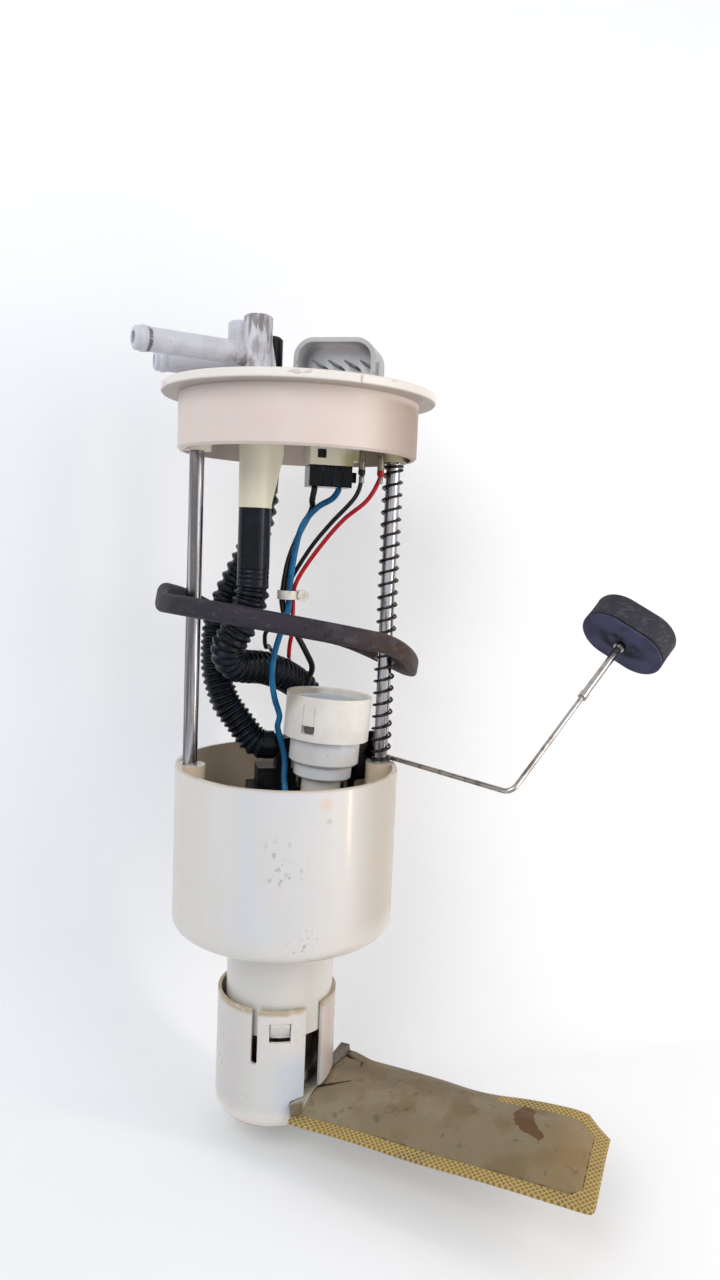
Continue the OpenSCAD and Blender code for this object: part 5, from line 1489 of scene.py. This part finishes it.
@dataclass
class LevelSender(Assembly):
    """The sender, its wire arm and the float that turns on it."""

    finishes = {"sender_body": BLACK_NYLON, "sender_card": CARD_CERAMIC, "arm_hub": BLACK_NYLON,
                "float_arm": ARM_STEEL, "float_sleeve": ARM_STEEL, "float_clip": SPRING_STEEL}

    hinge_at: Point = (49.83, 3.10, -161.3)
    hinge_turn: float = -62.0
    reach: float = 73.5
    rest: float = 39.0
    along: float = 93.5
    length: float = 40.5
    width: float = 27.5
    thick: float = 15.5
    face_turn: float = 38.0
    bore_r: float = 1.74
    mouth_r: float = 2.4
    mouth_l: float = 1.5
    mouth_edge: tuple[float, float] = (0.2, 0.15)
    around: int = 144
    uneven: float = 0.006
    uneven_rate: float = 0.16
    smudge_r: float = 5.5
    smudge_w: float = 4.5
    smudge_stretch: tuple[float, float] = (1.5, 0.75)
    face_depth: float = 0.5
    face_shares: tuple[float, ...] = (0.25, 0.5, 0.75)
    profile: tuple[tuple[float, float, Skin], ...] = (
        (0.0, 0.9, Skin.FACE), (0.1, 0.45, Skin.FACE), (0.4, 0.12, Skin.FACE), (0.8, 0.0, Skin.FACE),
        (1.0, 0.0, Skin.SIDE), (1.2, 0.5, Skin.CREASE), (1.8, 0.5, Skin.CREASE), (2.0, 0.0, Skin.SIDE),
        (4.0, 0.1, Skin.SIDE), (8.0, 0.14, Skin.SIDE), (12.0, 0.1, Skin.SIDE), (14.3, 0.0, Skin.SIDE),
        (15.0, 0.25, Skin.SIDE), (15.4, 0.7, Skin.SIDE), (15.5, 1.3, Skin.FACE))

    def outline(self, inset: float) -> np.ndarray:
        """Draws the float's outline, which has round ends and straight sides.

        Args:
            inset: how far it is drawn in.

        Returns:
            The points round it.
        """
        radius, straight = self.width / 2 - inset, (self.length - self.width) / 2
        points = []
        for a in np.linspace(0, 2 * math.pi, self.around, endpoint=False):
            x, y = math.cos(a), math.sin(a)
            reach = radius / abs(x) if abs(x) > 1e-9 else math.inf
            if reach * abs(y) > straight:
                b = abs(y) * straight
                reach = b + math.sqrt(b * b - straight * straight + radius * radius)
            points.append((x * reach, y * reach))
        return np.array(points)

    def rings(self) -> list[tuple[np.ndarray, float, Skin]]:
        """Lists the float's rings, from its bore out over the near face, the side and the far face.

        Returns:
            The outline, the depth and the kind of surface of each ring.
        """
        turn = np.linspace(0, 2 * math.pi, self.around, endpoint=False)
        circle = np.column_stack([np.cos(turn), np.sin(turn)])
        lip, drop = self.mouth_edge
        near, far = (self.outline(self.profile[k][1]) for k in (0, -1))
        mouth = [(circle * r, height, Skin.FACE) for r, height in (
            (self.bore_r, self.thick), (self.bore_r, self.mouth_l), (self.mouth_r, self.mouth_l),
            (self.mouth_r, drop), (self.mouth_r + lip, 0.0))]
        front = [(circle * (self.mouth_r + lip) * (1 - s) + near * s, 0.0, Skin.FACE)
                 for s in self.face_shares]
        side = [(self.outline(inset), height, skin) for height, inset, skin in self.profile]
        back = [(circle * (self.bore_r + lip) * (1 - s) + far * s, self.thick, Skin.FACE)
                for s in reversed(self.face_shares)]
        return mouth + front + side + back

    def place(self) -> np.ndarray:
        """Gives the matrix of the float's own frame, out along the arm from its hinge."""
        return (move(*self.hinge_at) @ turn_by(0, 0, self.hinge_turn) @ move(self.reach, 0, 0)
                @ turn_by(0, -self.rest, 90) @ move(self.along, 0, 0) @ turn_by(self.face_turn, 0, 0)
                @ turn_by(0, 90, 0))

    def float_piece(self) -> None:
        """Builds the float as one closed form and marks its side, its crease and its smudge."""
        rings = self.rings()
        flat = np.vstack([np.column_stack([edge, np.full(self.around, height)])
                          for edge, height, _ in rings])
        uneven = flat.copy()
        for k, p in enumerate(flat):
            uneven[k, :2] *= 1 + self.uneven * noise.noise(Vector(p) * self.uneven_rate)
        made = self.shop.piece("foam_float", placed(uneven, self.place()),
                               loft_faces(len(rings), self.around, True), FLOAT_NITRILE)
        skins = [skin for _, _, skin in rings]
        reach = np.hypot(flat[:, 0] * self.smudge_stretch[0], flat[:, 1] * self.smudge_stretch[1])
        on_face = flat[:, 2] < self.face_depth
        keep_mark(made, "side", np.repeat([s is not Skin.FACE for s in skins], self.around))
        keep_mark(made, "crease", np.repeat([s is Skin.CREASE for s in skins], self.around))
        keep_mark(made, "smudge", bump(reach, self.smudge_r, self.smudge_w) * on_face)
        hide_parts("float")
        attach(made, "float")


@dataclass(frozen=True)
class Lamp:
    """A soft rectangular lamp: where it stands and aims in millimetres, and its power in watts."""

    name: str
    spot: Point
    aim: Point
    size: tuple[float, float]
    power: float
    colour: str

    def light(self) -> None:
        """Puts the lamp in the room."""
        data = bpy.data.lights.new(self.name, "AREA")
        data.shape, data.size, data.size_y = "RECTANGLE", self.size[0] * MM, self.size[1] * MM
        data.energy, data.color = self.power, linear(self.colour)[:3]
        made = bpy.data.objects.new(self.name, data)
        made.location = Vector(self.spot) * MM
        aim = Vector(self.aim) - Vector(self.spot)
        made.rotation_euler = aim.to_track_quat("-Z", "Y").to_euler()
        bpy.context.scene.collection.objects.link(made)


def light_path(tree: bpy.types.NodeTree) -> bpy.types.NodeSocket:
    """Finds out how the background is seen.

    Args:
        tree: the nodes of the world or of the paper.

    Returns:
        1 where it is seen directly, in a reflection or through something clear, and otherwise 0.
    """
    path = add_node(tree, "ShaderNodeLightPath").outputs
    seen = path["Is Camera Ray"]
    for ray in ("Is Glossy Ray", "Is Transmission Ray"):
        seen = add_node(tree, "ShaderNodeMath", {0: seen, 1: path[ray]}, operation="MAXIMUM").outputs[0]
    return seen


@dataclass
class Studio:
    """The camera, the lamps and the pale sweep behind the part."""

    camera_at: Point = (-66.47, -415.0, -60.8)
    yaw: float = -0.2326
    pitch: float = 0.1037
    roll: float = 0.0421
    focal_px: float = 932.0
    image_px: float = 1280.0
    sensor_mm: float = 36.0
    clip_m: tuple[float, float] = (0.01, 20.0)
    lamps: tuple[Lamp, ...] = (
        Lamp("key", (-520, -620, 420), (0, 0, -150), (620, 620), 4.45, "#FFFDFA"),
        Lamp("fill", (620, -560, 60), (0, 0, -170), (520, 700), 1.7, "#FBFCFF"),
        Lamp("window", (400, -276, -170), (20, 0, -180), (40, 620), 0.9, "#FFEBCF"))
    room_colour: str = "#F4F7FF"
    room_strength: float = 0.43
    white: str = "#F9FCFF"
    paper_colour: str = "#ECEEF1"
    paper_glow: float = 0.14
    floor_z: float = -338.0
    wall_y: float = 88.0
    bend_r: float = 60.0
    bend_points: int = 24
    sweep_w: float = 2600.0
    sweep_front: float = -1500.0
    sweep_top: float = 1100.0

    def camera(self) -> None:
        """Sets the camera where the photograph was taken from."""
        data = bpy.data.cameras.new("camera")
        data.sensor_width = self.sensor_mm
        data.lens = self.focal_px / self.image_px * self.sensor_mm
        data.clip_start, data.clip_end = self.clip_m
        ahead = Vector((-math.sin(self.yaw) * math.cos(self.pitch),
                        math.cos(self.yaw) * math.cos(self.pitch), -math.sin(self.pitch)))
        level = Vector((math.cos(self.yaw), math.sin(self.yaw), 0))
        raised = level.cross(ahead)
        c, s = math.cos(self.roll), math.sin(self.roll)
        right, up = c * level + s * raised, -s * level + c * raised
        spot = Vector(self.camera_at) * MM
        made = bpy.data.objects.new("camera", data)
        made.matrix_world = Matrix(((right.x, up.x, -ahead.x, spot.x), (right.y, up.y, -ahead.y, spot.y),
                                    (right.z, up.z, -ahead.z, spot.z), (0, 0, 0, 1)))
        bpy.context.scene.collection.objects.link(made)
        bpy.context.scene.camera = made

    def world(self) -> None:
        """Fills the room with even pale light."""
        world = bpy.data.worlds.new("studio")
        tree = empty_tree(world)
        room = add_node(tree, "ShaderNodeBackground",
                        {"Color": linear(self.room_colour), "Strength": self.room_strength})
        shown = add_node(tree, "ShaderNodeBackground", {"Color": linear(self.white), "Strength": 1.0})
        mixed = add_node(tree, "ShaderNodeMixShader",
                         {0: light_path(tree), 1: room.outputs[0], 2: shown.outputs[0]})
        add_node(tree, "ShaderNodeOutputWorld", {"Surface": mixed.outputs[0]})
        bpy.context.scene.world = world

    def paper(self) -> bpy.types.Material:
        """Makes the sweep's material: matt pale paper that is clear from behind.

        Returns:
            The material.
        """
        material = bpy.data.materials.new("paper_sweep_pale")
        tree = empty_tree(material)
        matt = add_node(tree, "ShaderNodeBsdfDiffuse", {"Color": linear(self.paper_colour)})
        glow = add_node(tree, "ShaderNodeEmission",
                        {"Color": linear(self.white), "Strength": self.paper_glow})
        both = add_node(tree, "ShaderNodeAddShader", {0: matt.outputs[0], 1: glow.outputs[0]})
        lit = add_node(tree, "ShaderNodeMixShader",
                       {0: light_path(tree), 1: matt.outputs[0], 2: both.outputs[0]})
        back = add_node(tree, "ShaderNodeNewGeometry").outputs["Backfacing"]
        clear = add_node(tree, "ShaderNodeBsdfTransparent")
        whole = add_node(tree, "ShaderNodeMixShader", {0: back, 1: lit.outputs[0], 2: clear.outputs[0]})
        add_node(tree, "ShaderNodeOutputMaterial", {"Surface": whole.outputs[0]})
        return material

    def sweep(self) -> None:
        """Makes the floor and the wall behind as one curved sheet."""
        bend = [(self.wall_y - self.bend_r + self.bend_r * math.sin(a),
                 self.floor_z + self.bend_r - self.bend_r * math.cos(a))
                for a in np.linspace(0, math.pi / 2, self.bend_points)]
        line = [(self.sweep_front, self.floor_z), *bend, (self.wall_y, self.sweep_top)]
        half = self.sweep_w / 2
        points = np.array([(x, y, z) for y, z in line for x in (-half, half)]) * MM
        faces = [(2 * i, 2 * i + 1, 2 * i + 3, 2 * i + 2) for i in range(len(line) - 1)]
        mesh = bpy.data.meshes.new("pale_sweep")
        mesh.from_pydata(points.tolist(), [], faces)
        mesh.shade_smooth()
        mesh.materials.append(self.paper())
        made = bpy.data.objects.new("pale_sweep", mesh)
        bpy.context.scene.collection.objects.link(made)

    def build(self) -> None:
        """Sets up the room round the part."""
        for lamp in self.lamps:
            lamp.light()
        self.world()
        self.sweep()
        bpy.context.scene.view_settings.view_transform = "Standard"


def main() -> None:
    """Builds the whole module, from the camera and the hoses to the last node."""
    shop = Workshop()
    studio = Studio()
    studio.camera()
    Hose(shop, "feed_hose_ribbed", "feed_hose", FEED_ROUTE, outer_d=15.8, cuff_d=14.4, cuff_l=34.5,
         end_cuff_l=8.0, pitch=4.0, low_pitch=2.9, change_at=(50.0, 62.0),
         cuff_lines=(27.5, 29.6, 31.7)).build()
    Hose(shop, "return_hose_ribbed", "return_hose", RETURN_ROUTE, outer_d=14.2, cuff_d=12.4,
         cuff_l=19.0, end_cuff_l=5.0, pitch=5.0, low_pitch=2.9, change_at=(70.0, 90.0),
         depth=1.6).build()
    wiring, flange, columns = Wiring(shop), Flange(shop), Columns(shop)
    wiring.build()
    wiring.dress()
    flange.dress()
    flange.crimps()
    columns.dress()
    columns.spring()
    SealRing(shop).build()
    Reservoir(shop).dress()
    Pump(shop).dress()
    bag, sender = StrainerBag(shop), LevelSender(shop)
    bag.build()
    bag.dress()
    sender.dress()
    sender.float_piece()
    studio.build()
    bare = [n for n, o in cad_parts.items() if not o.hide_render and not o.data.materials]
    LOG.info("nodes without a finish: %s", bare or "none")


if __name__ == "__main__":
    main()
